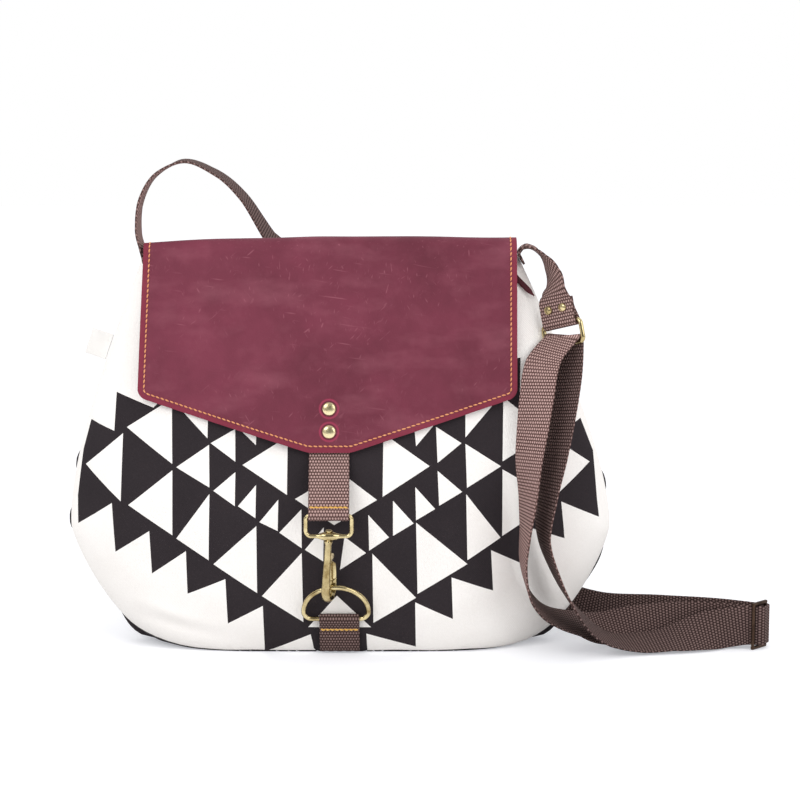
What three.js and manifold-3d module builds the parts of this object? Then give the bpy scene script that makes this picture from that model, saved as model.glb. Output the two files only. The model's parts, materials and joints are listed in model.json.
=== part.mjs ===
import * as THREE from 'three';
import { mergeVertices } from 'three/addons/utils/BufferGeometryUtils.js';
import Module from 'manifold-3d';

const wasm = await Module();
wasm.setup();

// Crossbody bag in millimetres: +Z up, front towards -Y, origin on the floor under the middle of the base.

// Canvas body: half widths and half depths at the base, at the belly and at the mouth
const bagHeight = 254;
const bellyHeight = 78;
const baseHalfWidth = 114;
const bellyHalfWidth = 174.5;
const mouthHalfWidth = 118.5;
const baseHalfDepth = 27;
const bellyHalfDepth = 42;
const mouthHalfDepth = 15;
const mouthShift = -7;
const shiftPower = 1.5;
const baseSeamShare = 0.4;
const bellyFullness = 2.6;
const mouthFullness = 5.4;
const baseFullness = 3;
const wallRoundness = 1.5;
const canvasThickness = 1.4;
const liningThickness = 0.8;
const liningDrop = 2;

// Gap kept between pieces that touch
const clearance = 0.3;

// Gap kept inside a fold of webbing that wraps a bar
const wrapClearance = 0.5;

// How far a fold of webbing turns round a bar before it lies back on itself
const wrapTurn = 205;

// Leather flap
const leatherThickness = 2.2;
const flapInset = 1;
const flapCentre = -6.5;
const flapRise = 10.5;
const flapSideDrop = 96;
const flapTipDrop = 133;
const flapTipWidth = 30;
const flapCornerRadius = 5;
const flapLeftFlare = 4;
const flapEdgeFall = 0.22;
const flapRoofFall = 3;

// Webbing, one inch wide everywhere
const webbingWidth = 25.4;
const webbingThickness = 1.4;

// Rivets
const rivetCapRadius = 4.2;
const rivetCapHeight = 1.8;
const rivetBackHeight = 0.9;
const rivetShaftRadius = 1.6;
const flapRivetPitch = 14.2;
const flapRivetFromTip = 13;
const stubRivetRadius = 2.8;
const stubRivetPitch = 11;
const stubRivetFromRing = 9;

// D-ring and its tab at the base
const ringTabHeight = 24.8;
const dRingWire = 3;
const dRingInnerWidth = 38;
const dRingCorner = 5.5;
const dRingReach = 24.6;
const dRingLean = 24;
const dRingCentre = -3;
const ringTabCentre = -1;
const ringTabFoot = 2;
const ringTabFold = 8;

// Snap hook, measured down from the middle of the bail's lower bar
const closureCentre = -6.9;
const bailWire = 2.6;
const bailCorner = 3.5;
const bailHeight = 13;
const closureTop = 8;
const bossRadius = 2.8;
const bossMiddle = 7;
const bossLength = 16;
const postRadius = 1.4;
const postHeadRadius = 2.4;
const postHeadHeight = 1.2;
const stemRadius = 2.1;
const collarRadius = 2.6;
const collarHeight = 1.2;
const collarTaper = 0.8;
const hookLength = 43.3;
const hookWire = 4;
const bightHalfWidth = 2.9;
const hookMouth = 13.5;
const hookTurn = 17;
const hookLean = 3.5;
const ringSlack = 3.7;
const gateWidth = 2;
const gateNeck = 4.8;
const gateLeafWidth = 6.5;
const gateThickness = 1.6;
const gateBow = 1.1;
const gateEye = 1.7;
const gateOverlap = 1.5;
const gatePinRadius = 0.75;
const gatePinDrop = 13;
const gatePinOffset = 3.9;
const lugHalfWidth = 2.4;
const lugHeight = 6;
const lugRim = 1.8;
const hookTipDrop = 28;

// Zip
const tapeDrop = 1;
const zipEnd = 0.05;
const tapeHeight = 12;
const tapeThickness = 0.8;
const teethRadius = 1.2;
const zipSliderLength = 10;
const zipSliderWidth = 9;
const zipSliderHeight = 3.2;
const laceWidth = 3.5;
const laceThickness = 1.2;

// Strap ring at the right shoulder, its upper bar so far below the mouth, right of the seam and forward.
// The strap rides up one side of its lower bar.
const strapRingWire = 3;
const strapRingHeight = 14;
const strapRingDrop = 43;
const strapRingBeside = 6.5;
const strapRingForward = 21;
const strapRingAlong = new THREE.Vector3(0.76, -0.62, 0.25).normalize();
const strapRingHang = new THREE.Vector3(0.12, -0.137, -0.985);
const strapRide = 3;
const strapSkew = 14;
const stubFoldLength = 15;

// Strap slider: three upright bars in a frame turned half sideways
const sliderBarRadius = 1.1;
const sliderBarPitch = 6.4;
const sliderTurn = 45;
const sliderRail = 2;
const sliderPlace = new THREE.Vector2(268.5, -19.5);

// Side label
const labelLength = 14;
const labelHeight = 17;
const labelThickness = 1.2;
const labelCentreHeight = 193;

const X = new THREE.Vector3(1, 0, 0);
const Y = new THREE.Vector3(0, 1, 0);
const Z = new THREE.Vector3(0, 0, 1);
const degrees = THREE.MathUtils.degToRad;
const lerp = THREE.MathUtils.lerp;

const canvas = { color: 0xf3eee9, roughness: 0.9, metalness: 0 };
const darkCanvas = { color: 0x262124, roughness: 0.9, metalness: 0 };
const liningCloth = { color: 0xb9aca2, roughness: 0.95, metalness: 0 };
const leather = { color: 0x7d374b, roughness: 0.5, metalness: 0 };
const webbing = { color: 0x7e6a68, roughness: 0.95, metalness: 0 };
const brass = { color: 0xb99a55, roughness: 0.35, metalness: 1 };
const bronze = { color: 0x4a3a30, roughness: 0.45, metalness: 1 };
const zipCloth = { color: 0x4b4145, roughness: 0.95, metalness: 0 };
const labelCloth = { color: 0xf7f4f0, roughness: 0.9, metalness: 0 };

const bag = new THREE.Group();

function addPiece(parent, name, geometry, look) {
  const mesh = new THREE.Mesh(geometry, new THREE.MeshStandardMaterial(look));
  mesh.name = name;
  parent.add(mesh);
  return mesh;
}

// Mesh building

function signedVolume(points, triangles) {
  let volume = 0;
  for (const [a, b, c] of triangles) {
    volume += points[a].dot(new THREE.Vector3().crossVectors(points[b], points[c])) / 6;
  }
  return volume;
}

// A closed mesh: points at one place are shared, collapsed triangles dropped, faces turned outwards
function meshFrom(points, triangles) {
  const placeOf = new Map();
  const kept = [];
  const shared = points.map((point) => {
    const key = point.toArray().map((value) => Math.round(value * 1e4)).join(',');
    if (!placeOf.has(key)) {
      placeOf.set(key, kept.length);
      kept.push(point);
    }
    return placeOf.get(key);
  });
  const sound = triangles
    .map((triangle) => triangle.map((corner) => shared[corner]))
    .filter(([a, b, c]) => a !== b && b !== c && c !== a);
  const outward = signedVolume(kept, sound) > 0 ? sound : sound.map(([a, b, c]) => [a, c, b]);
  const geometry = new THREE.BufferGeometry();
  geometry.setFromPoints(kept);
  geometry.setIndex(outward.flat());
  return geometry;
}

// A sheet with a thickness: two faces on one grid, closed round the rims; a loop has no side rims
function shell(outer, inner, columns, rows, { loop = false, closedStart = false } = {}) {
  const points = [];
  for (const face of [outer, inner]) {
    for (let row = 0; row <= rows; row += 1) {
      for (let column = 0; column <= columns; column += 1) {
        points.push(face(column / columns, row / rows));
      }
    }
  }
  const layer = (columns + 1) * (rows + 1);
  const at = (column, row) => row * (columns + 1) + column;
  const triangles = [];
  const quad = (a, b, c, d) => triangles.push([a, b, c], [a, c, d]);
  for (let row = 0; row < rows; row += 1) {
    for (let column = 0; column < columns; column += 1) {
      const a = at(column, row);
      const b = at(column + 1, row);
      const c = at(column + 1, row + 1);
      const d = at(column, row + 1);
      quad(a, b, c, d);
      triangles.push([layer + a, layer + c, layer + b], [layer + a, layer + d, layer + c]);
    }
  }
  for (let column = 0; column < columns; column += 1) {
    if (!closedStart) {
      quad(at(column + 1, 0), at(column, 0), layer + at(column, 0), layer + at(column + 1, 0));
    }
    const left = at(column, rows);
    const right = at(column + 1, rows);
    quad(left, right, layer + right, layer + left);
  }
  for (let row = 0; row < rows && !loop; row += 1) {
    quad(at(0, row), at(0, row + 1), layer + at(0, row + 1), layer + at(0, row));
    const low = at(columns, row);
    const high = at(columns, row + 1);
    quad(high, low, layer + low, layer + high);
  }
  return meshFrom(points, triangles);
}

// A solid through a row of like sections, each a closed convex loop of points
function loft(sections) {
  const size = sections[0].length;
  const triangles = [];
  for (let step = 0; step + 1 < sections.length; step += 1) {
    for (let corner = 0; corner < size; corner += 1) {
      const a = step * size + corner;
      const b = step * size + (corner + 1) % size;
      triangles.push([a, b, b + size], [a, b + size, a + size]);
    }
  }
  const last = (sections.length - 1) * size;
  for (let corner = 1; corner + 1 < size; corner += 1) {
    triangles.push([0, corner + 1, corner], [last, last + corner, last + corner + 1]);
  }
  return meshFrom(sections.flat(), triangles);
}

// Flat webbing along stations, each with a centre and the direction of its width
function ribbon(stations, width, thickness, stepsBetween) {
  const route = new THREE.CatmullRomCurve3(stations.map((station) => station.centre));
  const intervals = stations.length - 1;
  const sections = [];
  for (let step = 0; step <= intervals * stepsBetween; step += 1) {
    const share = step / stepsBetween;
    const from = Math.min(Math.floor(share), intervals - 1);
    const centre = route.getPoint(share / intervals);
    const ahead = route.getTangent(share / intervals);
    const across = stations[from].across.clone().lerp(stations[from + 1].across, share - from);
    across.addScaledVector(ahead, -across.dot(ahead)).normalize();
    const out = new THREE.Vector3().crossVectors(ahead, across);
    const corner = (side, face) => centre.clone()
      .addScaledVector(across, side * width / 2)
      .addScaledVector(out, face * thickness / 2);
    sections.push([corner(-1, -1), corner(1, -1), corner(1, 1), corner(-1, 1)]);
  }
  return loft(sections);
}

function station(x, y, z, across) {
  return { centre: new THREE.Vector3(x, y, z), across };
}

// Stations on an arc round a bar, from one direction through a half turn or less
function wrapStations(centre, along, start, middle, radius, fromAngle, toAngle, steps) {
  const stations = [];
  for (let step = 0; step <= steps; step += 1) {
    const angle = degrees(lerp(fromAngle, toAngle, step / steps));
    const place = centre.clone()
      .addScaledVector(start, radius * Math.cos(angle))
      .addScaledVector(middle, radius * Math.sin(angle));
    stations.push({ centre: place, across: along });
  }
  return stations;
}

// Wire bent to a closed rounded rectangle in a plane, its two lower corners with a radius of their own
function wireLoop(centre, along, up, width, height, upperRadius, lowerRadius, wire) {
  const points = [];
  const cornerSteps = 4;
  for (const [sideX, sideY, start] of [[1, 1, 0], [-1, 1, 90], [-1, -1, 180], [1, -1, 270]]) {
    const radius = sideY > 0 ? upperRadius : lowerRadius;
    for (let step = 0; step <= cornerSteps; step += 1) {
      const angle = degrees(start + 90 * step / cornerSteps);
      const x = sideX * (width / 2 - radius) + radius * Math.cos(angle);
      const y = sideY * (height / 2 - radius) + radius * Math.sin(angle);
      points.push(centre.clone().addScaledVector(along, x).addScaledVector(up, y));
    }
  }
  return closedWire(points, wire);
}

function closedWire(points, wire) {
  const sides = 8;
  const middle = points.reduce((sum, point) => sum.add(point), new THREE.Vector3());
  middle.divideScalar(points.length);
  const normal = new THREE.Vector3();
  points.forEach((point, index) => {
    const next = points[(index + 1) % points.length];
    normal.add(new THREE.Vector3().crossVectors(point.clone().sub(middle), next.clone().sub(middle)));
  });
  normal.normalize();
  const rings = points.map((point, index) => {
    const before = points[(index + points.length - 1) % points.length];
    const after = points[(index + 1) % points.length];
    const out = new THREE.Vector3().crossVectors(after.clone().sub(before), normal).normalize();
    return Array.from({ length: sides }, (_, side) => {
      const angle = 2 * Math.PI * side / sides;
      return point.clone()
        .addScaledVector(out, wire / 2 * Math.cos(angle))
        .addScaledVector(normal, wire / 2 * Math.sin(angle));
    });
  });
  const triangles = [];
  rings.forEach((ring, index) => {
    const next = ((index + 1) % rings.length) * sides;
    for (let side = 0; side < sides; side += 1) {
      const other = (side + 1) % sides;
      const base = index * sides;
      triangles.push([base + side, base + other, next + other], [base + side, next + other, next + side]);
    }
  });
  return meshFrom(rings.flat(), triangles);
}

// A wire with closed ends along a curve
function wire(curve, radius, steps, sides = 8) {
  const section = new THREE.Shape().absarc(0, 0, radius, 0, 2 * Math.PI, false);
  return new THREE.ExtrudeGeometry(section, { extrudePath: curve, steps, curveSegments: sides });
}

// A turned piece along +Z from radius and height pairs that start and end on the axis
function turned(profile, segments = 16) {
  const outline = profile.map(([radius, height]) => new THREE.Vector2(radius, height));
  return new THREE.LatheGeometry(outline, segments).rotateX(Math.PI / 2);
}

function rod(radius, length, segments = 16) {
  return turned([[0, -length / 2], [radius, -length / 2], [radius, length / 2], [0, length / 2]], segments);
}

function solidOf(geometry) {
  const bare = geometry.clone();
  bare.deleteAttribute('normal');
  bare.deleteAttribute('uv');
  const welded = mergeVertices(bare, 1e-4);
  const points = [];
  const places = welded.getAttribute('position');
  for (let index = 0; index < places.count; index += 1) {
    points.push(new THREE.Vector3().fromBufferAttribute(places, index));
  }
  const corners = Array.from(welded.getIndex().array);
  const triangles = [];
  for (let index = 0; index < corners.length; index += 3) {
    triangles.push(corners.slice(index, index + 3));
  }
  const sound = meshFrom(points, triangles);
  return new wasm.Manifold(new wasm.Mesh({
    numProp: 3,
    vertProperties: new Float32Array(sound.getAttribute('position').array),
    triVerts: new Uint32Array(sound.getIndex().array),
  }));
}

function geometryOf(solid) {
  const mesh = solid.getMesh();
  const geometry = new THREE.BufferGeometry();
  geometry.setAttribute('position', new THREE.Float32BufferAttribute(mesh.vertProperties, 3));
  geometry.setIndex(Array.from(mesh.triVerts));
  return geometry;
}

function cut(geometry, cutters) {
  return geometryOf(cutters.reduce((solid, cutter) => solid.subtract(solidOf(cutter)), solidOf(geometry)));
}

function join(geometries) {
  const [first, ...others] = geometries.map(solidOf);
  return geometryOf(others.reduce((solid, other) => solid.add(other), first));
}

// A geometry made along +Z, turned so that +Z points along a direction, and moved to a place
function aimed(geometry, direction, place) {
  const turn = new THREE.Quaternion().setFromUnitVectors(Z, direction);
  return geometry.clone().applyQuaternion(turn).translate(place.x, place.y, place.z);
}

// Canvas body

const wallHeight = bagHeight - bellyHeight;

const outlineBelow = new THREE.CubicBezierCurve(
  new THREE.Vector2(baseHalfWidth, 0),
  new THREE.Vector2(lerp(baseHalfWidth, bellyHalfWidth, 0.54), 0.08 * bellyHeight),
  new THREE.Vector2(bellyHalfWidth, 0.56 * bellyHeight),
  new THREE.Vector2(bellyHalfWidth, bellyHeight),
);
const outlineAbove = new THREE.CubicBezierCurve(
  new THREE.Vector2(bellyHalfWidth, bellyHeight),
  new THREE.Vector2(bellyHalfWidth, bellyHeight + 0.23 * wallHeight),
  new THREE.Vector2(lerp(mouthHalfWidth, bellyHalfWidth, 0.53), bellyHeight + 0.61 * wallHeight),
  new THREE.Vector2(mouthHalfWidth, bagHeight),
);
const profileBelow = new THREE.CubicBezierCurve(
  new THREE.Vector2(baseHalfDepth, 0),
  new THREE.Vector2(lerp(baseHalfDepth, bellyHalfDepth, 0.47), 0.05 * bellyHeight),
  new THREE.Vector2(bellyHalfDepth, 0.5 * bellyHeight),
  new THREE.Vector2(bellyHalfDepth, bellyHeight),
);
const profileAbove = new THREE.CubicBezierCurve(
  new THREE.Vector2(bellyHalfDepth, bellyHeight),
  new THREE.Vector2(bellyHalfDepth, bellyHeight + 0.28 * wallHeight),
  new THREE.Vector2(lerp(mouthHalfDepth, bellyHalfDepth, 0.56), bellyHeight + 0.63 * wallHeight),
  new THREE.Vector2(mouthHalfDepth, bagHeight),
);

// The reach of a rising curve at a height, found by halving
function reachAt(below, above, z) {
  const curve = z < bellyHeight ? below : above;
  const halvings = 40;
  let low = 0;
  let high = 1;
  for (let halving = 0; halving < halvings; halving += 1) {
    const middle = (low + high) / 2;
    if (curve.getPoint(middle).y < z) {
      low = middle;
    } else {
      high = middle;
    }
  }
  return curve.getPoint(high).x;
}

const halfWidthAt = (z) => reachAt(outlineBelow, outlineAbove, z);
const halfDepthAt = (z) => reachAt(profileBelow, profileAbove, z);
const centreAt = (z) => mouthShift * (Math.max(z, 0) / bagHeight) ** shiftPower;

// How full a level section is: boxy at the base, round at the belly, nearly a slot at the mouth
function fullness(z) {
  const aboveBase = z / bagHeight;
  const belowBelly = Math.max(0, 1 - z / bellyHeight);
  return bellyFullness + mouthFullness * aboveBase ** 3 + baseFullness * belowBelly ** 2;
}

const bulge = (share, z) => Math.max(0, 1 - Math.abs(share) ** fullness(z)) ** (1 / wallRoundness);

// Distance of the canvas from the seam plane at a place across and up the bag
function canvasDepth(x, z) {
  const share = Math.min(1, Math.abs(x - centreAt(z)) / halfWidthAt(z));
  return clearance / 2 + halfDepthAt(z) * bulge(share, z);
}

const baseRows = 2;
const wallRows = 13;
const wallColumns = 22;
const bodyRows = baseRows + wallRows;
const rowCrowding = 0.35;

// A point on a wall of the bag that lies inset from the canvas, side -1 for the front and 1 for the back.
// The front wall turns under the bag and ends at the base seam, behind the middle.
function wallPoint(side, across, row, inset, top) {
  const level = row * bodyRows - baseRows;
  const rise = Math.max(0, level / wallRows);
  const height = bagHeight * lerp(rise, rise * rise, rowCrowding);
  const spread = lerp(side * baseSeamShare, 1, level < 0 ? 1 + level / baseRows : 1);
  const share = -Math.cos(Math.PI * across);
  const x = centreAt(height) + (halfWidthAt(height) - inset) * share;
  const y = clearance / 2 + (halfDepthAt(height) - inset) * bulge(share, height) * spread;
  return new THREE.Vector3(x, side * y, inset + (top - inset) * height / bagHeight);
}

function panel(side) {
  return shell(
    (across, row) => wallPoint(side, across, row, 0, bagHeight),
    (across, row) => wallPoint(side, across, row, canvasThickness, bagHeight),
    wallColumns,
    bodyRows,
  );
}

const liningOuter = canvasThickness + clearance;
const liningInner = liningOuter + liningThickness;

function lining() {
  const top = bagHeight - liningDrop;
  const ring = (inset) => (around, row) => {
    const side = around < 0.5 ? -1 : 1;
    const across = around < 0.5 ? 2 * around : 2 - 2 * around;
    const point = wallPoint(side, across, row, inset, top);
    point.y -= side * clearance / 2;
    return point;
  };
  const ends = { loop: true, closedStart: true };
  return shell(ring(liningOuter), ring(liningInner), 2 * wallColumns, bodyRows, ends);
}

addPiece(bag, 'front_panel', panel(-1), canvas);
addPiece(bag, 'back_panel', panel(1), darkCanvas);
addPiece(bag, 'lining', lining(), liningCloth);

// Zip, open: a tape along each lip of the mouth with its row of teeth, the slider parked at the right end

const tapeOuter = liningInner + clearance;
const tapeTop = bagHeight - tapeDrop;

function lipPoint(side, across, z, inset) {
  const share = -Math.cos(Math.PI * across);
  const x = mouthShift + (mouthHalfWidth - inset) * share;
  const y = clearance / 2 + (mouthHalfDepth - inset) * bulge(share, bagHeight);
  return new THREE.Vector3(x, side * y, z);
}

// The tape hangs straight down inside the lip
function zipTape(side) {
  const face = (inset) => (across, row) => lipPoint(side, across, tapeTop - tapeHeight * (1 - row), inset);
  return shell(face(tapeOuter), face(tapeOuter + tapeThickness), wallColumns, 1);
}

const teethHeight = tapeTop + clearance + teethRadius;

function zipTeeth(side) {
  const inset = tapeOuter + teethRadius + clearance;
  const points = [];
  for (let step = 0; step <= wallColumns; step += 1) {
    points.push(lipPoint(side, lerp(zipEnd, 1 - zipEnd, step / wallColumns), teethHeight, inset));
  }
  return wire(new THREE.CatmullRomCurve3(points), teethRadius, wallColumns, 3);
}

for (const [side, name] of [[-1, 'front'], [1, 'back']]) {
  addPiece(bag, `zip_tape_${name}`, zipTape(side), zipCloth);
  addPiece(bag, `zip_teeth_${name}`, zipTeeth(side), brass);
}

const zipSliderBase = teethHeight + teethRadius + clearance;
const zipSliderX = mouthShift + mouthHalfWidth - tapeOuter - zipSliderLength;

function zipSlider() {
  const plate = new THREE.BoxGeometry(zipSliderLength, zipSliderWidth, zipSliderHeight);
  const eyeWidth = laceWidth + 2 * clearance;
  const eye = new THREE.BoxGeometry(zipSliderLength, eyeWidth, laceThickness + 2 * clearance);
  eye.translate(zipSliderLength / 2, 0, 0);
  return cut(plate, [eye]);
}

addPiece(bag, 'zip_slider', zipSlider(), brass)
  .position.set(zipSliderX, 0, zipSliderBase + zipSliderHeight / 2);

// Leather lace from the slider's eye, over the lip, down under the flap and out past its right edge
const mouthRight = mouthShift + mouthHalfWidth;
const mouthLeft = mouthShift - mouthHalfWidth;
const laceRoute = [
  station(zipSliderX + clearance, 0, zipSliderBase + zipSliderHeight / 2, Y),
  station(mouthRight - 5.8, -0.5, zipSliderBase + zipSliderHeight / 2, Y),
  station(mouthRight - 4.2, -7.2, bagHeight + 3, new THREE.Vector3(0.85, 0.5, 0)),
  station(mouthRight - 3.7, -11, bagHeight - 3, X),
  station(mouthRight - 3.3, -11.8, bagHeight - 8.5, X),
  station(mouthRight - 1.5, -12, bagHeight - 14, new THREE.Vector3(0.95, 0, 0.3)),
  station(mouthRight + 4, -12, bagHeight - 20, new THREE.Vector3(0.75, 0, 0.65)),
  station(mouthRight + 10.8, -12, bagHeight - 26.8, new THREE.Vector3(0.7, 0, 0.7)),
];
addPiece(bag, 'zip_pull', ribbon(laceRoute, laceWidth, laceThickness, 3), leather);

// Leather flap: sewn along the back lip, over the mouth and down the front to a blunt point

const flapWidth = 2 * (mouthHalfWidth - flapInset);
const flapTop = bagHeight + flapRise;
const underFlap = rivetBackHeight + webbingThickness + 3 * clearance;

// Distance of the middle of the leather from the seam plane, down the front
function flapDepth(x, z) {
  const share = (x - centreAt(z)) / mouthHalfWidth;
  const fall = 1 - flapEdgeFall * share * share;
  return halfDepthAt(Math.min(z, bagHeight)) * fall + underFlap + leatherThickness / 2;
}

function flapLowerEdge(x) {
  const fromCentre = Math.abs(x - flapCentre);
  const sideShare = Math.max(0, (fromCentre - flapTipWidth / 2) / (flapWidth / 2 - flapTipWidth / 2));
  const straight = flapTop - lerp(flapTipDrop, flapSideDrop, sideShare);
  const fromEdge = Math.max(0, flapWidth / 2 - fromCentre);
  const inCorner = Math.max(0, flapCornerRadius - fromEdge);
  return straight + flapCornerRadius - Math.sqrt(flapCornerRadius ** 2 - inCorner ** 2);
}

const hingeY = mouthHalfDepth - canvasThickness / 2;
const hingeZ = bagHeight + clearance;

// The leather's middle line at one place across: a quarter turn up from the back lip, over, and down
function flapLine(x) {
  const roofHalf = leatherThickness / 2;
  const share = (x - flapCentre) / (flapWidth / 2);
  const roof = flapTop - roofHalf - flapRoofFall * share * share;
  const shoulder = flapTop - flapRise;
  const front = -flapDepth(x, shoulder);
  const rise = roof - hingeZ;
  const points = [];
  const backSteps = 4;
  for (let step = 0; step <= backSteps; step += 1) {
    const angle = degrees(90 * step / backSteps);
    points.push(new THREE.Vector2(hingeY - rise * (1 - Math.cos(angle)), hingeZ + rise * Math.sin(angle)));
  }
  const frontRadius = roof - shoulder;
  const frontSteps = 5;
  for (let step = 0; step <= frontSteps; step += 1) {
    const angle = degrees(90 * step / frontSteps);
    points.push(new THREE.Vector2(
      front + frontRadius * (1 - Math.sin(angle)),
      roof - frontRadius * (1 - Math.cos(angle)),
    ));
  }
  const lower = flapLowerEdge(x);
  const drapeSteps = 8;
  for (let step = 1; step <= drapeSteps; step += 1) {
    const z = lerp(shoulder, lower, step / drapeSteps);
    points.push(new THREE.Vector2(-flapDepth(x, z), z));
  }
  return points;
}

const flapRows = flapLine(flapCentre).length - 1;
const flapColumns = 24;
const columnPlace = (across) => flapCentre + flapWidth / 2 * Math.sin(Math.PI * (across - 0.5));

function flapPoint(across, row, side) {
  const x = columnPlace(across);
  const line = flapLine(x);
  const index = Math.round(row * flapRows);
  const before = line[Math.max(0, index - 1)];
  const after = line[Math.min(flapRows, index + 1)];
  const ahead = after.clone().sub(before).normalize();
  const offset = side * leatherThickness / 2;
  const fall = THREE.MathUtils.clamp((bagHeight - line[index].y) / flapSideDrop, 0, 1);
  const leftward = Math.max(0, flapCentre - x) / (flapWidth / 2);
  return new THREE.Vector3(
    x - flapLeftFlare * leftward * fall,
    line[index].x + offset * ahead.y,
    line[index].y - offset * ahead.x,
  );
}

const flapTipZ = flapTop - flapTipDrop;
const rivetHeights = {
  lower: flapTipZ + flapRivetFromTip,
  upper: flapTipZ + flapRivetFromTip + flapRivetPitch,
};

// Outward direction of the leather where the rivets sit
function flapNormal(z) {
  const step = 1;
  const lean = flapDepth(closureCentre, z - step) - flapDepth(closureCentre, z + step);
  return new THREE.Vector3(0, -2 * step, lean).normalize();
}

function rivet(grip, radius) {
  return turned([
    [0, -grip / 2 - rivetBackHeight],
    [radius, -grip / 2 - rivetBackHeight],
    [radius, -grip / 2],
    [rivetShaftRadius, -grip / 2],
    [rivetShaftRadius, grip / 2],
    [radius, grip / 2],
    [radius, grip / 2 + 0.35 * rivetCapHeight],
    [0.75 * radius, grip / 2 + 0.85 * rivetCapHeight],
    [0, grip / 2 + rivetCapHeight],
  ]);
}

const flapGrip = leatherThickness + webbingThickness + 3 * clearance;
const flapRivetHoles = [];
for (const [name, z] of Object.entries(rivetHeights)) {
  const normal = flapNormal(z);
  const leatherFace = new THREE.Vector3(closureCentre, -flapDepth(closureCentre, z), z);
  const middle = leatherFace.addScaledVector(normal, leatherThickness / 2 + clearance - flapGrip / 2);
  flapRivetHoles.push(aimed(rod(rivetShaftRadius + clearance, 4 * flapGrip), normal, middle));
  addPiece(bag, `flap_rivet_${name}`, aimed(rivet(flapGrip, rivetCapRadius), normal, middle), brass);
}

const flapSheet = shell(
  (across, row) => flapPoint(across, row, -1),
  (across, row) => flapPoint(across, row, 1),
  flapColumns,
  flapRows,
);
addPiece(bag, 'flap', cut(flapSheet, flapRivetHoles), leather);

// D-ring in its webbing tab at the foot of the front panel

const tabLayer = clearance + webbingThickness / 2;
const dRingBar = new THREE.Vector3(
  dRingCentre,
  -(canvasDepth(dRingCentre, ringTabHeight) + clearance + webbingThickness + clearance + dRingWire / 2),
  ringTabHeight,
);
const tabWrapRadius = dRingWire / 2 + clearance + webbingThickness / 2;

function ringTab() {
  const stations = [];
  const tabBar = dRingBar.clone().setX(ringTabCentre);
  const steps = 5;
  const backAt = (z) => -(canvasDepth(ringTabCentre, z) + tabLayer);
  for (let step = 0; step <= steps; step += 1) {
    const z = lerp(ringTabFoot, ringTabHeight - tabWrapRadius, step / steps);
    stations.push(station(ringTabCentre, backAt(z), z, X));
  }
  stations.push(...wrapStations(tabBar, X, Y, Z, tabWrapRadius, 0, wrapTurn, 9));
  const apart = webbingThickness + clearance;
  for (let step = 0; step <= steps; step += 1) {
    const z = lerp(ringTabHeight - ringTabFold, ringTabFoot, step / steps);
    stations.push(station(ringTabCentre, backAt(z) - apart, z, X));
  }
  return ribbon(stations, webbingWidth, webbingThickness, 1);
}

addPiece(bag, 'd_ring_tab', ringTab(), webbing);

const dRingUp = new THREE.Vector3(0, -Math.sin(degrees(dRingLean)), Math.cos(degrees(dRingLean)));

function dRing() {
  const halfWidth = (dRingInnerWidth + dRingWire) / 2;
  const straight = halfWidth - dRingCorner;
  const arc = (centreX, radiusX, radiusY, from, to, steps) => (
    Array.from({ length: steps + 1 }, (_, step) => {
      const angle = degrees(lerp(from, to, step / steps));
      return [centreX + radiusX * Math.cos(angle), dRingCorner + radiusY * Math.sin(angle)];
    })
  );
  const cornerSteps = 4;
  const points = [
    ...arc(straight, dRingCorner, dRingCorner, -90, 0, cornerSteps).slice(0, cornerSteps),
    ...arc(0, halfWidth, dRingReach - dRingCorner, 0, 180, 16),
    ...arc(-straight, dRingCorner, dRingCorner, 180, 270, cornerSteps).slice(1),
  ];
  return closedWire(
    points.map(([x, y]) => dRingBar.clone().addScaledVector(X, x).addScaledVector(dRingUp, y)),
    dRingWire,
  );
}

addPiece(bag, 'd_ring', dRing(), brass);

// Snap hook: its bight holds the top of the D-ring with a little slack

const dRingTop = dRingBar.clone().addScaledVector(dRingUp, dRingReach);
const hookBend = hookMouth / 2;
const bightDrop = hookLength - hookWire / 2;
const bossZ = dRingTop.z + bightDrop - hookWire / 2 - dRingWire / 2 - ringSlack;
const bossY = dRingTop.y - hookBend * Math.cos(degrees(hookTurn));
const boss = new THREE.Vector3(closureCentre, bossY, bossZ);
const bailBar = boss.clone().addScaledVector(Z, bailHeight);

// The hook turns in the bail and leans a little, so its pieces share a group placed at the boss
const hook = new THREE.Group();
hook.position.copy(boss);
hook.rotation.set(0, degrees(hookLean), -degrees(hookTurn), 'YZX');
bag.add(hook);
const hookAxis = Z.clone().applyEuler(hook.rotation);

// The bail's lower bar swells to a boss that the hook's post turns in
function hookBail() {
  const width = webbingWidth + 2 * clearance + bailWire;
  const middle = boss.clone().addScaledVector(Z, bailHeight / 2);
  const loop = wireLoop(middle, X, Z, width, bailHeight, bailWire, bailCorner, bailWire);
  const swell = turned([
    [0, -bossLength / 2],
    [bailWire / 2, -bossLength / 2],
    [bossRadius, -bossMiddle / 2],
    [bossRadius, bossMiddle / 2],
    [bailWire / 2, bossLength / 2],
    [0, bossLength / 2],
  ]);
  const bore = aimed(rod(postRadius + clearance, 4 * bossRadius), hookAxis, boss);
  return cut(join([loop, aimed(swell, X, boss)]), [bore]);
}

addPiece(bag, 'hook_bail', hookBail(), brass);

const gatePin = new THREE.Vector3(0, gatePinOffset, -gatePinDrop);
const lugReach = gatePinOffset + lugRim;

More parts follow.
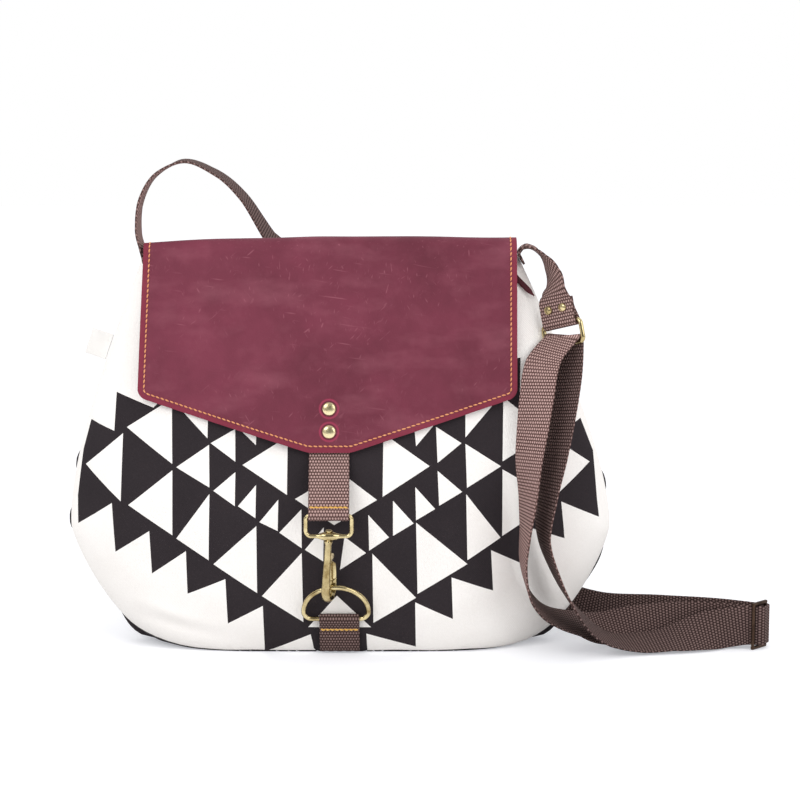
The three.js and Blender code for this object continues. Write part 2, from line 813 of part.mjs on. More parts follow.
function hookBody() {
  const seat = bossRadius + clearance;
  const shank = turned([
    [0, -gatePinDrop],
    [stemRadius, -gatePinDrop],
    [stemRadius, -seat - collarHeight - collarTaper],
    [collarRadius, -seat - collarHeight],
    [collarRadius, -seat],
    [postRadius, -seat],
    [postRadius, seat],
    [postHeadRadius, seat],
    [postHeadRadius, seat + postHeadHeight],
    [0, seat + postHeadHeight],
  ]);
  const bendZ = -hookLength + hookWire / 2 + hookBend;
  const points = [new THREE.Vector3(0, 0, hookWire / 2 - gatePinDrop)];
  const bendSteps = 10;
  for (let step = 0; step <= bendSteps; step += 1) {
    const angle = degrees(180 * step / bendSteps);
    points.push(new THREE.Vector3(
      0,
      hookBend * (1 - Math.cos(angle)),
      bendZ - hookBend * Math.sin(angle),
    ));
  }
  points.push(new THREE.Vector3(0, hookMouth, -hookTipDrop));
  const spine = sweptWire(points, hookWire / 2, spineHalfWidth);
  const lugs = new THREE.BoxGeometry(2 * lugHalfWidth, lugReach, lugHeight);
  lugs.translate(0, lugReach / 2, -gatePinDrop);
  const slot = new THREE.BoxGeometry(gateWidth + 2 * clearance, 2 * lugReach, 2 * lugHeight);
  slot.translate(0, hookWire / 2 + lugReach, -gatePinDrop);
  const bore = aimed(rod(gatePinRadius + clearance, 4 * lugHalfWidth, 12), X, gatePin);
  return cut(join([shank, spine, lugs]), [slot, bore]);
}

// Half the spine's width, which grows from the stem to the bight
function spineHalfWidth(z) {
  const share = THREE.MathUtils.clamp((-gatePinDrop - z) / (hookLength - gatePinDrop), 0, 1);
  return lerp(stemRadius, bightHalfWidth, share);
}

// An oval bar through points in one plane at right angles to X
function sweptWire(points, radius, halfWidth) {
  const sides = 10;
  return loft(points.map((point, index) => {
    const before = points[Math.max(0, index - 1)];
    const after = points[Math.min(points.length - 1, index + 1)];
    const out = new THREE.Vector3().crossVectors(after.clone().sub(before), X).normalize();
    return Array.from({ length: sides }, (_, side) => {
      const angle = 2 * Math.PI * side / sides;
      return point.clone()
        .addScaledVector(out, radius * Math.cos(angle))
        .addScaledVector(X, halfWidth(point.z) * Math.sin(angle));
    });
  }));
}

// The gate is a bowed leaf from the pin to the inside of the hook's tip, narrow between the lugs
function hookGate() {
  const tip = new THREE.Vector2(
    hookMouth - hookWire / 2 - clearance - gateThickness / 2,
    -hookTipDrop - gateOverlap,
  );
  const root = new THREE.Vector2(gatePin.y, gatePin.z);
  const ahead = tip.clone().sub(root).normalize();
  const out = new THREE.Vector2(-ahead.y, ahead.x);
  const place = (along, across) => root.clone().addScaledVector(ahead, along).addScaledVector(out, across);
  const length = tip.distanceTo(root);
  const half = gateThickness / 2;
  const bow = (along) => gateBow * Math.sin(Math.PI * Math.max(0, along) / length);
  const steps = 6;
  const leafBetween = (from, to, width) => {
    const stretches = Array.from({ length: steps + 1 }, (_, step) => lerp(from, to, step / steps));
    const outline = new THREE.Shape([
      ...stretches.map((along) => place(along, bow(along) - half)),
      ...stretches.toReversed().map((along) => place(along, bow(along) + half)),
    ]);
    const leaf = new THREE.ExtrudeGeometry(outline, { depth: width, bevelEnabled: false });
    leaf.translate(0, 0, -width / 2);
    return leaf.applyMatrix4(new THREE.Matrix4().makeBasis(Y, Z, X));
  };
  const eye = aimed(rod(gateEye, gateWidth, 12), X, gatePin);
  const neck = leafBetween(0, gateNeck + gateThickness, gateWidth);
  const bore = aimed(rod(gatePinRadius + clearance, 4 * gateWidth, 12), X, gatePin);
  return cut(join([eye, neck, leafBetween(gateNeck, length, gateLeafWidth)]), [bore]);
}

addPiece(hook, 'hook_body', hookBody(), brass);
addPiece(hook, 'hook_gate', hookGate(), brass);
addPiece(hook, 'hook_gate_pin', aimed(rod(gatePinRadius, 2 * lugHalfWidth, 12), X, gatePin), brass);

// Closure webbing: riveted under the flap, down to the bail, round its bar and up behind itself

const bailWrapRadius = bailWire / 2 + wrapClearance + webbingThickness / 2;

function closureWebbing() {
  const stations = [];
  const underLeather = leatherThickness / 2 + clearance + webbingThickness / 2;
  const top = rivetHeights.upper + closureTop;
  const steps = 5;
  for (let step = 0; step <= steps; step += 1) {
    const z = lerp(top, flapTipZ, step / steps);
    stations.push(station(closureCentre, underLeather - flapDepth(closureCentre, z), z, X));
  }
  const leave = stations[steps].centre;
  const ahead = bailBar.clone().sub(leave).normalize();
  const out = new THREE.Vector3(0, ahead.z, -ahead.y);
  const touch = bailBar.clone().addScaledVector(out, bailWrapRadius);
  for (const share of [0.3, 0.6, 0.85]) {
    stations.push({ centre: leave.clone().lerp(touch, share), across: X });
  }
  const touchAngle = THREE.MathUtils.radToDeg(Math.atan2(out.z, out.y));
  stations.push(...wrapStations(bailBar, X, Y, Z, bailWrapRadius, touchAngle, touchAngle + wrapTurn, 9));
  const apart = webbingThickness + clearance;
  for (const share of [0.72, 0.55, 0.4]) {
    stations.push({ centre: leave.clone().lerp(touch, share).addScaledVector(out, -apart), across: X });
  }
  return cut(ribbon(stations, webbingWidth, webbingThickness, 2), flapRivetHoles);
}

addPiece(bag, 'closure_webbing', closureWebbing(), webbing);

// Right shoulder: a stub of webbing folded round the strap ring and riveted

const seamOffset = wrapClearance + webbingThickness / 2;
const leftSeam = (z) => centreAt(z) - halfWidthAt(z) - seamOffset;
const rightSeam = (z) => centreAt(z) + halfWidthAt(z) + seamOffset;
const towardsFront = Y.clone().negate();

const strapRingZ = bagHeight - strapRingDrop;
const strapRingCentre = new THREE.Vector3(
  rightSeam(strapRingZ) + strapRingBeside,
  -strapRingForward,
  strapRingZ,
);
const ringDown = strapRingHang.clone();
ringDown.addScaledVector(strapRingAlong, -ringDown.dot(strapRingAlong)).normalize();
const ringUp = ringDown.clone().negate();
const ringFront = new THREE.Vector3().crossVectors(ringDown, strapRingAlong).normalize();
const ringLower = strapRingCentre.clone().addScaledVector(ringDown, strapRingHeight);
const ringWrapRadius = strapRingWire / 2 + wrapClearance + webbingThickness / 2;

// From the side seam up, over and forward, the webbing edge on to the front
const stubRoute = [
  station(rightSeam(bagHeight - 13), 2, bagHeight - 13, towardsFront),
  station(rightSeam(bagHeight - 7), 2, bagHeight - 7, towardsFront),
  station(rightSeam(bagHeight - 1) + clearance, 2, bagHeight - 1, towardsFront),
  station(mouthRight + 4.3, 1, bagHeight + 2.2, towardsFront),
  station(mouthRight + 9, -1, bagHeight + 2.6, towardsFront),
  station(mouthRight + 14.5, -4, bagHeight - 1, new THREE.Vector3(0.03, -0.99, 0)),
  station(mouthRight + 19, -8.5, bagHeight - 8, new THREE.Vector3(0.15, -0.98, 0.03)),
  station(mouthRight + 22, -15, bagHeight - 16, new THREE.Vector3(0.3, -0.94, 0.08)),
];

const stubFold = ringWrapRadius - webbingThickness - clearance;

// A place on the stub's fold, so far above the ring's upper bar and so far in front of it
function aboveRing(along, across) {
  return strapRingCentre.clone().addScaledVector(ringDown, -along).addScaledVector(ringFront, across);
}

function stubStations() {
  const around = wrapStations(
    strapRingCentre, strapRingAlong, ringFront, ringDown, ringWrapRadius, 0, 201, 9,
  );
  const frontLayer = [[20, 0.6], [14, 1], [9, 1], [4, 1]].map(([along, turned]) => ({
    centre: aboveRing(along, ringWrapRadius),
    across: towardsFront.clone().lerp(strapRingAlong, turned).normalize(),
  }));
  const backLayer = [0.6, 0.8, 1].map((share) => ({
    centre: aboveRing(share * stubFoldLength, stubFold),
    across: strapRingAlong,
  }));
  return [...stubRoute, ...frontLayer, ...around, ...backLayer];
}

// The rivets clamp the fold where its layers still part towards the ring
const stubFoldSlack = 1.4;
const stubGrip = 2 * webbingThickness + 3 * clearance + stubFoldSlack;
const stubRivetHoles = [];
const stubRivets = [-1, 1].map((side) => {
  const outerFace = ringWrapRadius + webbingThickness / 2 + clearance;
  const middle = aboveRing(stubRivetFromRing, outerFace - stubGrip / 2)
    .addScaledVector(strapRingAlong, side * stubRivetPitch / 2);
  stubRivetHoles.push(aimed(rod(rivetShaftRadius + clearance, 2 * stubGrip), ringFront, middle));
  return aimed(rivet(stubGrip, stubRivetRadius), ringFront, middle);
});
const stubBand = ribbon(stubStations(), webbingWidth, webbingThickness, 2);
addPiece(bag, 'strap_stub', cut(stubBand, stubRivetHoles), webbing);
addPiece(bag, 'stub_rivet_left', stubRivets[0], brass);
addPiece(bag, 'stub_rivet_right', stubRivets[1], brass);

const strapRingWidth = webbingWidth + 2 * clearance + strapRingWire;
const strapRingMiddle = strapRingCentre.clone().lerp(ringLower, 0.5);
const strapRing = wireLoop(
  strapRingMiddle, strapRingAlong, ringUp, strapRingWidth, strapRingHeight,
  strapRingWire, strapRingWire, strapRingWire,
);
addPiece(bag, 'strap_ring', strapRing, brass);

// Strap slider

const sliderAlong = new THREE.Vector3(Math.cos(degrees(sliderTurn)), Math.sin(degrees(sliderTurn)), 0);
const strapFloorZ = webbingWidth / 2 + 3 * clearance + sliderRail;
const sliderCentre = new THREE.Vector3(sliderPlace.x, sliderPlace.y, strapFloorZ);
const sliderBars = [-1, 0, 1].map((index) => (
  sliderCentre.clone().addScaledVector(sliderAlong, index * sliderBarPitch)
));

function strapSlider() {
  const opening = webbingWidth + 4 * clearance;
  const bars = sliderBars.map((place) => (
    rod(sliderBarRadius, opening + sliderRail, 10).translate(place.x, place.y, place.z)
  ));
  const rails = [-1, 1].map((side) => {
    const length = 2 * sliderBarPitch + 2 * sliderBarRadius;
    const rail = new THREE.BoxGeometry(length, 2 * sliderBarRadius, sliderRail);
    rail.rotateZ(degrees(sliderTurn));
    return rail.translate(sliderCentre.x, sliderCentre.y, sliderCentre.z + side * (opening + sliderRail) / 2);
  });
  return join([...bars, ...rails]);
}

addPiece(bag, 'strap_slider', strapSlider(), bronze);

// Shoulder strap: from the left seam over an arch, down behind the bag, along the floor to the slider,
// back to the left and up through the ring, down again and back to the slider's middle bar

const strapWrapRadius = sliderBarRadius + clearance + webbingThickness / 2;
const onEdge = Z;

// A station so far from the middle of the ring's upper bar
function besideRing(x, y, z, across) {
  return { centre: new THREE.Vector3(x, y, z).add(strapRingCentre), across };
}

const strapArch = [
  station(leftSeam(bagHeight - 8), 0, bagHeight - 8, Y),
  station(leftSeam(bagHeight - 4), 0, bagHeight - 4, Y),
  station(mouthLeft - 2.1, 1, bagHeight + 1, Y),
  station(mouthLeft - 4, 5, bagHeight + 13, Y),
  station(mouthLeft - 2.7, 11, bagHeight + 32, Y),
  station(mouthLeft + 6.1, 19, bagHeight + 48, Y),
  station(mouthLeft + 23.5, 27, bagHeight + 56.5, new THREE.Vector3(0, 0.99, 0.03)),
  station(mouthLeft + 43, 36, bagHeight + 49, new THREE.Vector3(0.03, 0.99, 0.05)),
  station(mouthLeft + 59.5, 44, bagHeight + 34, new THREE.Vector3(0.08, 0.98, 0.1)),
  station(mouthLeft + 78, 50, bagHeight + 5, new THREE.Vector3(0.2, 0.96, 0.12)),
];
const strapBehind = [
  station(-24, 59, 228, new THREE.Vector3(0.75, 0.5, 0.4)),
  station(14, 60, 170, new THREE.Vector3(0.83, 0.1, 0.55)),
  station(60, 58, 106, new THREE.Vector3(0.8, 0, 0.6)),
  station(103, 54, 55, new THREE.Vector3(0.65, 0, 0.76)),
  station(138, 47, 23, new THREE.Vector3(0.35, 0, 0.94)),
  station(168, 37, strapFloorZ, new THREE.Vector3(0.05, 0, 1)),
  station(208, 21, strapFloorZ, onEdge),
  station(246, 3, strapFloorZ, onEdge),
  station(262, -8, strapFloorZ, onEdge),
];
const strapFront = [
  station(271.2, -22.3, strapFloorZ, onEdge),
  station(268.2, -23.4, strapFloorZ, onEdge),
  station(265.3, -22.1, strapFloorZ, onEdge),
  station(262, -21.7, strapFloorZ, onEdge),
  station(258, -21.6, 15.4, onEdge),
  station(246, -21.5, 14.6, new THREE.Vector3(0, 0.1, 0.99)),
  station(230, -22.5, 11.5, new THREE.Vector3(0, 0.6, 0.8)),
  station(210, -24, 7.2, new THREE.Vector3(0, 0.93, 0.37)),
  station(190, -27, 5.6, new THREE.Vector3(0, 0.97, 0.24)),
  station(172, -32, 9, new THREE.Vector3(0.1, 0.99, 0.05)),
  station(155, -37.5, 18.5, new THREE.Vector3(0.15, 0.98, 0)),
  station(142, -41.5, 34, new THREE.Vector3(-0.12, 0.99, 0)),
  station(133, -44, 54, new THREE.Vector3(-0.2, 0.98, 0)),
  station(127.5, -46, 78, new THREE.Vector3(-0.25, 0.96, 0)),
  station(129, -46, 103, new THREE.Vector3(-0.45, 0.9, 0)),
  station(133.5, -42, 128, new THREE.Vector3(-0.6, 0.8, 0)),
  besideRing(-1, -13.5, -58, new THREE.Vector3(-0.68, 0.73, 0)),
  besideRing(3, -4.5, -33, new THREE.Vector3(-0.75, 0.65, -0.15)),
];
const strapFall = [
  besideRing(-10, -13.5, -24, new THREE.Vector3(-0.85, 0.52, -0.1)),
  besideRing(-15.5, -21.5, -45, new THREE.Vector3(-0.8, 0.6, 0)),
  station(120, -48, 148, new THREE.Vector3(-0.73, 0.68, 0)),
  station(117.5, -52, 128, new THREE.Vector3(-0.6, 0.8, 0)),
  station(117, -54, 106, new THREE.Vector3(-0.4, 0.92, 0)),
  station(117, -54.5, 84, new THREE.Vector3(-0.25, 0.97, 0)),
  station(117, -52, 62, new THREE.Vector3(-0.2, 0.98, 0)),
  station(119, -47, 42, new THREE.Vector3(-0.1, 0.99, 0)),
];
const strapReturn = [
  station(124.5, -43, 29, new THREE.Vector3(0, 0.98, 0.2)),
  station(134, -38.5, 19.5, new THREE.Vector3(0, 0.95, 0.3)),
  station(148, -26.5, 14.5, new THREE.Vector3(0, 0.64, 0.77)),
  station(166, -11.5, 14, new THREE.Vector3(0, 0.4, 0.92)),
  station(190, -4, 14.2, new THREE.Vector3(0, 0.3, 0.95)),
  station(216, -4, 15, new THREE.Vector3(0, 0.15, 0.99)),
  station(240, -11, 15.5, onEdge),
  station(257, -16.8, strapFloorZ, onEdge),
];
const strapEnd = [
  station(263, -19.6, strapFloorZ, onEdge),
  station(254, -19, strapFloorZ, onEdge),
];

function strapStations() {
  const crest = ringLower.clone().addScaledVector(ringUp, strapRide);
  const skewed = strapRingAlong.clone().negate().applyAxisAngle(ringFront, -degrees(strapSkew));
  const ringBack = ringFront.clone().negate();
  const overRing = wrapStations(crest, skewed, ringBack, ringUp, ringWrapRadius, 0, 140, 7);
  const [, middleBar, rightBar] = sliderBars;
  const roundSlider = wrapStations(rightBar, Z, X, Y, strapWrapRadius, 120, -60, 8);
  const roundMiddle = wrapStations(middleBar, Z, X, Y, strapWrapRadius, 90, -100, 8);
  return [
    ...strapArch, ...strapBehind, ...roundSlider, ...strapFront,
    ...overRing, ...strapFall, ...strapReturn, ...roundMiddle, ...strapEnd,
  ];
}

addPiece(bag, 'shoulder_strap', ribbon(strapStations(), webbingWidth, webbingThickness, 3), webbing);

// Side label, folded cloth standing out of the left seam

function sideLabel() {
  const rise = 2;
  const seam = (z) => new THREE.Vector3(centreAt(z) - halfWidthAt(z), 0, z);
  const slope = seam(labelCentreHeight + rise).sub(seam(labelCentreHeight - rise)).normalize();
  const out = new THREE.Vector3(-slope.z, 0, slope.x);
  const place = seam(labelCentreHeight).addScaledVector(out, clearance + labelLength / 2);
  const label = new THREE.BoxGeometry(labelLength, labelThickness, labelHeight);
  label.applyMatrix4(new THREE.Matrix4().makeBasis(out, new THREE.Vector3().crossVectors(slope, out), slope));
  return label.translate(place.x, place.y, place.z);
}

addPiece(bag, 'side_label', sideLabel(), labelCloth);

export default bag;
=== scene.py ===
import json
from functools import reduce
from math import asin, atan2, copysign, cos, degrees, exp, hypot, pi, radians, sin, sqrt

import bmesh
import bpy
import numpy as np
from mathutils import Matrix, Vector, noise
from mathutils.geometry import delaunay_2d_cdt


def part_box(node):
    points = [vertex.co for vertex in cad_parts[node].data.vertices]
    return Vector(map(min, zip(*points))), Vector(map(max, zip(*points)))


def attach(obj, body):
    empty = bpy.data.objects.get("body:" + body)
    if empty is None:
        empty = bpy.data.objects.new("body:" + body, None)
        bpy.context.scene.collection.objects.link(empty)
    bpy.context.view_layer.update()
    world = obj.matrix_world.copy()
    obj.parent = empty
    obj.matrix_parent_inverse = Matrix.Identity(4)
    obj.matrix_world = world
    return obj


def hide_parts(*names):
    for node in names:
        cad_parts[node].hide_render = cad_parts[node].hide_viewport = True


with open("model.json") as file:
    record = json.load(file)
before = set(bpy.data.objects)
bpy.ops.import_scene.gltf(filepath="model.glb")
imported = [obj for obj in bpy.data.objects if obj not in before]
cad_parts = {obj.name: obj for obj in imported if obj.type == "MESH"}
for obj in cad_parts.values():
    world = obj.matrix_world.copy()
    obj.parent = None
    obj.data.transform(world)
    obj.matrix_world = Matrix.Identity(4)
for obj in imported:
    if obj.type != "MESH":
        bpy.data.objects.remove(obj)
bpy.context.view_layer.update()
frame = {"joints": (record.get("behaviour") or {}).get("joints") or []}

# Lengths are millimetres until a mesh is made, and the frame is the bag's own: +X right, +Y back, +Z up
MM = 0.001
X, Y, Z = Vector((1, 0, 0)), Vector((0, 1, 0)), Vector((0, 0, 1))

# Canvas body, with its widths and depths at the base, the belly and the mouth
BAG_HEIGHT, BELLY_HEIGHT = 254, 78
BASE_HALF_WIDTH, BELLY_HALF_WIDTH, MOUTH_HALF_WIDTH = 112, 174.5, 118.5
BASE_HALF_DEPTH, BELLY_HALF_DEPTH, MOUTH_HALF_DEPTH = 27, 42, 15
MOUTH_SHIFT = -7
MOUTH_RIGHT = MOUTH_SHIFT + MOUTH_HALF_WIDTH
BASE_SEAM_SHARE = 0.4
CANVAS, LINING, LINING_DROP = 1.4, 0.8, 2
CLEARANCE, WRAP_CLEARANCE = 0.3, 0.5
FULLNESS, MOUTH_FULLNESS, BASE_FULLNESS, BULGE_ROUND = 2.6, 5.4, 3, 1.5

# Zip
TAPE, TAPE_HEIGHT, TAPE_DROP = 0.8, 12, 1
TEETH_RADIUS, TOOTH_LENGTH, TOOTH_PITCH = 1.2, 1.3, 2.4
TEETH_RUN = 0.05, 0.95
ZIP_INSET = CANVAS + LINING + 2 * CLEARANCE
LACE_WIDTH, LACE_THICKNESS = 3.5, 1.2

# Leather flap
LEATHER = 2.2
FLAP_WIDTH, FLAP_CENTRE, FLAP_RISE = 235, -6.5, 10.5
FLAP_SIDE_DROP, FLAP_TIP_DROP, FLAP_TIP_WIDTH = 99.5, 133, 26
FLAP_CORNER = 5
FLAP_LEFT_FLARE = 4
FLAP_EDGE_FALL = 0.22
FLAP_ROOF_FALLS, FLAP_ROOF_WAVE = (3.8, 0.6), 0.5
FLAP_ROUNDING = 0.7
STITCH_INSET = 3.8

# Webbing and hardware
WEBBING_WIDTH, WEBBING = 25.4, 1.4
FOLD_TURN = 205
# How much darker the webbing is made: a darker tone on the closure and the stub, painted shade on the tab and on the
# strap's inner face, and painted shade on the strap near the floor that fades out between two heights.
CLOSURE_DARKENING, TAB_PAINTED_SHADE, STUB_DARKENING, INNER_PAINTED_SHADE, FLOOR_PAINTED_SHADE = 0.15, 0.85, 0.2, 0.85, (24, 52)
CLOSURE_CENTRE, CLOSURE_ABOVE_RIVET = -6.9, 8
TAB_CENTRE, TAB_FOOT, TAB_FOLD, TAB_STITCH_HEIGHT = -1, 2, 8, 17.5
D_RING_WIRE, D_RING_INNER_WIDTH, D_RING_CORNER, D_RING_REACH = 3, 38, 5.5, 24.6
D_RING_LEAN = radians(24)
BAIL_WIRE, BAIL_CORNER, BAIL_HEIGHT = 2.6, 3.5, 13
BOSS_RADIUS, BOSS_MIDDLE, BOSS_LENGTH = 2.8, 7, 16
POST_RADIUS, POST_HEAD_RADIUS, POST_HEAD_HEIGHT = 1.4, 2.4, 1.2
STEM_RADIUS = 2.1
COLLAR_RADIUS, COLLAR_HEIGHT, COLLAR_TAPER = 2.6, 1.2, 0.8
HOOK_LENGTH, HOOK_WIRE, HOOK_MOUTH, HOOK_TIP_DROP = 43.3, 4, 13.5, 28
BIGHT_HALF_WIDTH = 2.9
GATE_PIN_DROP, GATE_PIN_OFFSET, GATE_PIN_RADIUS = 13, 3.9, 0.75
GATE, GATE_WIDTH, GATE_NECK, GATE_LEAF_WIDTH = 1.6, 2, 4.8, 6.5
GATE_BOW, GATE_EYE, GATE_OVERLAP = 1.1, 1.7, 1.5
LUG_HALF_WIDTH, LUG_HEIGHT, LUG_RIM = 2.4, 6, 1.8
RIVET_BACK, RIVET_CAP, RIVET_RADIUS, RIVET_SHAFT = 0.9, 1.8, 4.2, 1.6
RIVET_PITCH, RIVET_FROM_TIP = 14.2, 13
STUB_RIVET_RADIUS, STUB_RIVET_PITCH, STUB_RIVET_FROM_RING = 2.8, 11, 9
STUB_FOLD_LENGTH = 15
STRAP_RING_WIRE, STRAP_RING_HEIGHT = 3, 14
STRAP_RING_Z, STRAP_RING_BESIDE, STRAP_RING_FORWARD = 211, 6.5, 21
STRAP_RING_ALONG = Vector((0.76, -0.62, 0.25)).normalized()
STRAP_RIDE = 3
STRAP_SKEW = radians(14)
SLIDER_CENTRE = Vector((268.5, -19.5, 15.6))
SLIDER_TURN = radians(45)
SLIDER_BAR, SLIDER_PITCH, SLIDER_RAIL = 1.1, 6.4, 2
LABEL_LENGTH, LABEL_HEIGHT, LABEL_THICKNESS = 14, 17, 1.2
LABEL_CENTRE_HEIGHT = 193

# Thread: orange along the flap, gold across the webbing
STITCH_LENGTH, STITCH_GAP, THREAD_RADIUS = 2.2, 0.95, 0.5
WEB_STITCH_LENGTH, WEB_STITCH_GAP, WEB_THREAD_RADIUS = 2.4, 0.35, 0.62
STITCH_SLANT, STITCH_ARCH, STITCH_SINK = 0.4, 1.15, 0.35
STITCH_STEPS, STITCH_SIDES = 5, 8
WEB_STITCH_INSET = 0.8
STITCH_FIRST_ROW, STITCH_SAMPLES = 13, 120

# Meshes
SHARP_ANGLE = radians(48)
BEVEL_SEGMENTS = 3
BAND_EDGE = 0.9
PANEL_COLUMNS, PANEL_ROWS, BASE_RUN, PRINT_STEP = 130, 110, 40, 6
LINING_COLUMNS, LINING_ROWS, LINING_BASE = 96, 60, 0.1
FLAP_COLUMNS, FLAP_ROOF_ROWS, FLAP_BEND_ROWS, FLAP_FRONT_ROWS = 120, 16, 12, 70
TAPE_COLUMNS, TAPE_ROWS, TEETH_SAMPLES = 80, 3, 400
WEBBING_STEPS, STRAP_STEPS, LACE_STEPS = 6, 10, 8


def lerp(a, b, share):
    return a + (b - a) * share


def clamp(value, low=0, high=1):
    return min(high, max(low, value))


def smooth(low, high, value):
    share = clamp((value - low) / (high - low))
    return share * share * (3 - 2 * share)


def spread(start, end, count):
    """Values in so many even steps, both ends among them."""
    return [lerp(start, end, k / count) for k in range(count + 1)]


def full_turn(count):
    return [2 * pi * k / count for k in range(count)]


def metres(point):
    return tuple(c * MM for c in point)


def configure(item, **settings):
    for key, value in settings.items():
        setattr(item, key, value)
    return item


# Making pieces

def in_scene(name, data, **settings):
    item = configure(bpy.data.objects.new(name, data), **settings)
    bpy.context.scene.collection.objects.link(item)
    return item


def new_piece(name, points, faces):
    mesh = bpy.data.meshes.new(name)
    mesh.from_pydata([metres(p) for p in points], [], faces)
    mesh.validate()
    mesh.shade_smooth()
    mesh.set_sharp_from_angle(angle=SHARP_ANGLE)
    return in_scene(name, mesh)


def face_outwards(piece):
    shape = bmesh.new()
    shape.from_mesh(piece.data)
    bmesh.ops.recalc_face_normals(shape, faces=shape.faces)
    shape.to_mesh(piece.data)
    shape.free()
    return piece


def dress(piece, body, slot, looks, *nodes):
    """Gives a piece its materials and its body, and hides the CAD nodes that it stands for."""
    for look in looks:
        piece.data.materials.append(look)
    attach(piece, body)
    if nodes:
        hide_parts(*nodes)


def thicken(piece, thickness, offset, rim_slot=0):
    configure(piece.modifiers.new("thickness", "SOLIDIFY"), thickness=thickness * MM, offset=offset,
              use_even_offset=True, material_offset_rim=rim_slot)


def soften(piece, width, angle=50):
    configure(piece.modifiers.new("rounded edges", "BEVEL"), width=width * MM, segments=BEVEL_SEGMENTS,
              limit_method="ANGLE", angle_limit=radians(angle))


def solid(name, shape, body, slot, look, *nodes, rounding=None):
    """A closed piece of one material, its edges rounded by a width where they are sharper than an angle."""
    piece = face_outwards(new_piece(name, *shape))
    if rounding:
        soften(piece, *rounding)
    dress(piece, body, slot, [look], *nodes)


# Shapes: points and faces

def loft(rings, ringed=True, looped=False, capped=False):
    """A skin over rings of points, each joined to the next; looped joins the last to the first."""
    size, count = len(rings[0]), len(rings)
    faces = []
    for i in range(count if looped else count - 1):
        a, b = i * size, (i + 1) % count * size
        for k in range(size if ringed else size - 1):
            n = (k + 1) % size
            faces.append((a + k, a + n, b + n, b + k))
    if capped:
        faces += [tuple(reversed(range(size))), tuple(range((count - 1) * size, count * size))]
    return [point for ring in rings for point in ring], faces


def grid(place, columns, rows, ringed=False):
    """A sheet: place(across, up) with both from 0 to 1."""
    wide = columns if ringed else columns + 1
    return loft([[place(c / columns, r / rows) for c in range(wide)] for r in range(rows + 1)], ringed)


def tube(points, radius, normal, closed=False, sides=16, width=None):
    """A wire through points that lie in one plane, round unless it has a half width of its own."""
    last = len(points) - 1
    rings = []
    for i, point in enumerate(points):
        before = points[i - 1] if closed or i else point
        after = points[(i + 1) % len(points)] if closed or i < last else point
        out = (after - before).cross(normal).normalized()
        size = radius(i / last) if callable(radius) else radius
        across = width(point) if width else size
        rings.append([point + size * cos(a) * out + across * sin(a) * normal for a in full_turn(sides)])
    return loft(rings, looped=closed, capped=not closed)


def turned(profile, segments=32):
    """A turned piece along +Z from radius and height pairs that start and end on the axis."""
    turns = full_turn(segments)
    points, faces = loft([[Vector((r * cos(a), r * sin(a), z)) for a in turns] for r, z in profile[1:-1]])
    foot = len(points)
    top = foot - segments
    pairs = [(k, (k + 1) % segments) for k in range(segments)]
    faces = [(foot, n, k) for k, n in pairs] + faces + [(top + k, top + n, foot + 1) for k, n in pairs]
    return points + [Vector((0, 0, profile[end][1])) for end in (0, -1)], faces


def slab(outline, low, high):
    """A plate between two places along X from an outline of Y and Z."""
    return loft([[Vector((x, y, z)) for y, z in outline] for x in (low, high)], capped=True)


def box_shape(size, centre=Vector()):
    x, y, z = (c / 2 for c in size)
    return moved(slab([(-y, -z), (y, -z), (y, z), (-y, z)], -x, x), Matrix.Translation(centre))


def shelled(outer, inner, faces):
    """A sheet with a thickness from its two faces, closed round the rim."""
    count = len(outer)
    sides = {(a, b) for face in faces for a, b in zip(face, face[1:] + face[:1])}
    rim = sorted((a, b) for a, b in sides if (b, a) not in sides)
    closed = list(faces) + [tuple(i + count for i in reversed(face)) for face in faces]
    closed += [(b, a, a + count, b + count) for a, b in rim]
    return outer + inner, closed


def together(shapes):
    points, faces = [], []
    for more_points, more_faces in shapes:
        faces += [tuple(len(points) + i for i in face) for face in more_faces]
        points += more_points
    return points, faces


def moved(shape, matrix):
    return [matrix @ Vector(p) for p in shape[0]], shape[1]


def aim(direction, place):
    return Matrix.Translation(place) @ direction.to_track_quat("Z", "Y").to_matrix().to_4x4()


# Bands of webbing, through the same stations as the solids follow

def route(*rows, start=(0, 0, 0)):
    """Stations of a band: x, y and z from the start, and which way the band's width lies."""
    return [(Vector(start) + Vector(place), Vector(across)) for *place, across in rows]


def wrap(centre, along, start, middle, radius, from_angle, to_angle, count):
    """Stations round a bar, with angles reckoned from start towards middle."""
    angles = map(radians, spread(from_angle, to_angle, count))
    return [(centre + radius * (cos(a) * start + sin(a) * middle), along) for a in angles]


def curve_points(knots, steps):
    """Points and headings of a centripetal curve through the knots, with so many steps between two."""
    last = len(knots) - 1
    found = []
    for i in range(last):
        p1, p2 = knots[i], knots[i + 1]
        p0 = knots[i - 1] if i else 2 * p1 - p2
        p3 = knots[i + 2] if i + 2 <= last else 2 * p2 - p1
        d1 = sqrt((p2 - p1).length) or 1
        d0 = sqrt((p1 - p0).length) or d1
        d2 = sqrt((p3 - p2).length) or d1
        m1 = d1 * ((p1 - p0) / d0 - (p2 - p0) / (d0 + d1) + (p2 - p1) / d1)
        m2 = d1 * ((p2 - p1) / d1 - (p3 - p1) / (d1 + d2) + (p3 - p2) / d2)
        c2 = 3 * (p2 - p1) - 2 * m1 - m2
        c3 = 2 * (p1 - p2) + m1 + m2
        for k in range(steps + (i == last - 1)):
            t = k / steps
            place = p1 + t * m1 + t * t * c2 + t * t * t * c3
            heading = (m1 + 2 * t * c2 + 3 * t * t * c3).normalized()
            found.append((place, heading, i + t))
    return found


def band_frames(stations, steps):
    """Centre, across, out and distance at each section of a band."""
    frames = []
    distance = 0
    for place, heading, share in curve_points([s[0] for s in stations], steps):
        i = min(int(share), len(stations) - 2)
        across = stations[i][1].lerp(stations[i + 1][1], share - i)
        across = (across - across.dot(heading) * heading).normalized()
        if frames:
            distance += (place - frames[-1][0]).length
        frames.append((place, across, heading.cross(across), distance))
    return frames


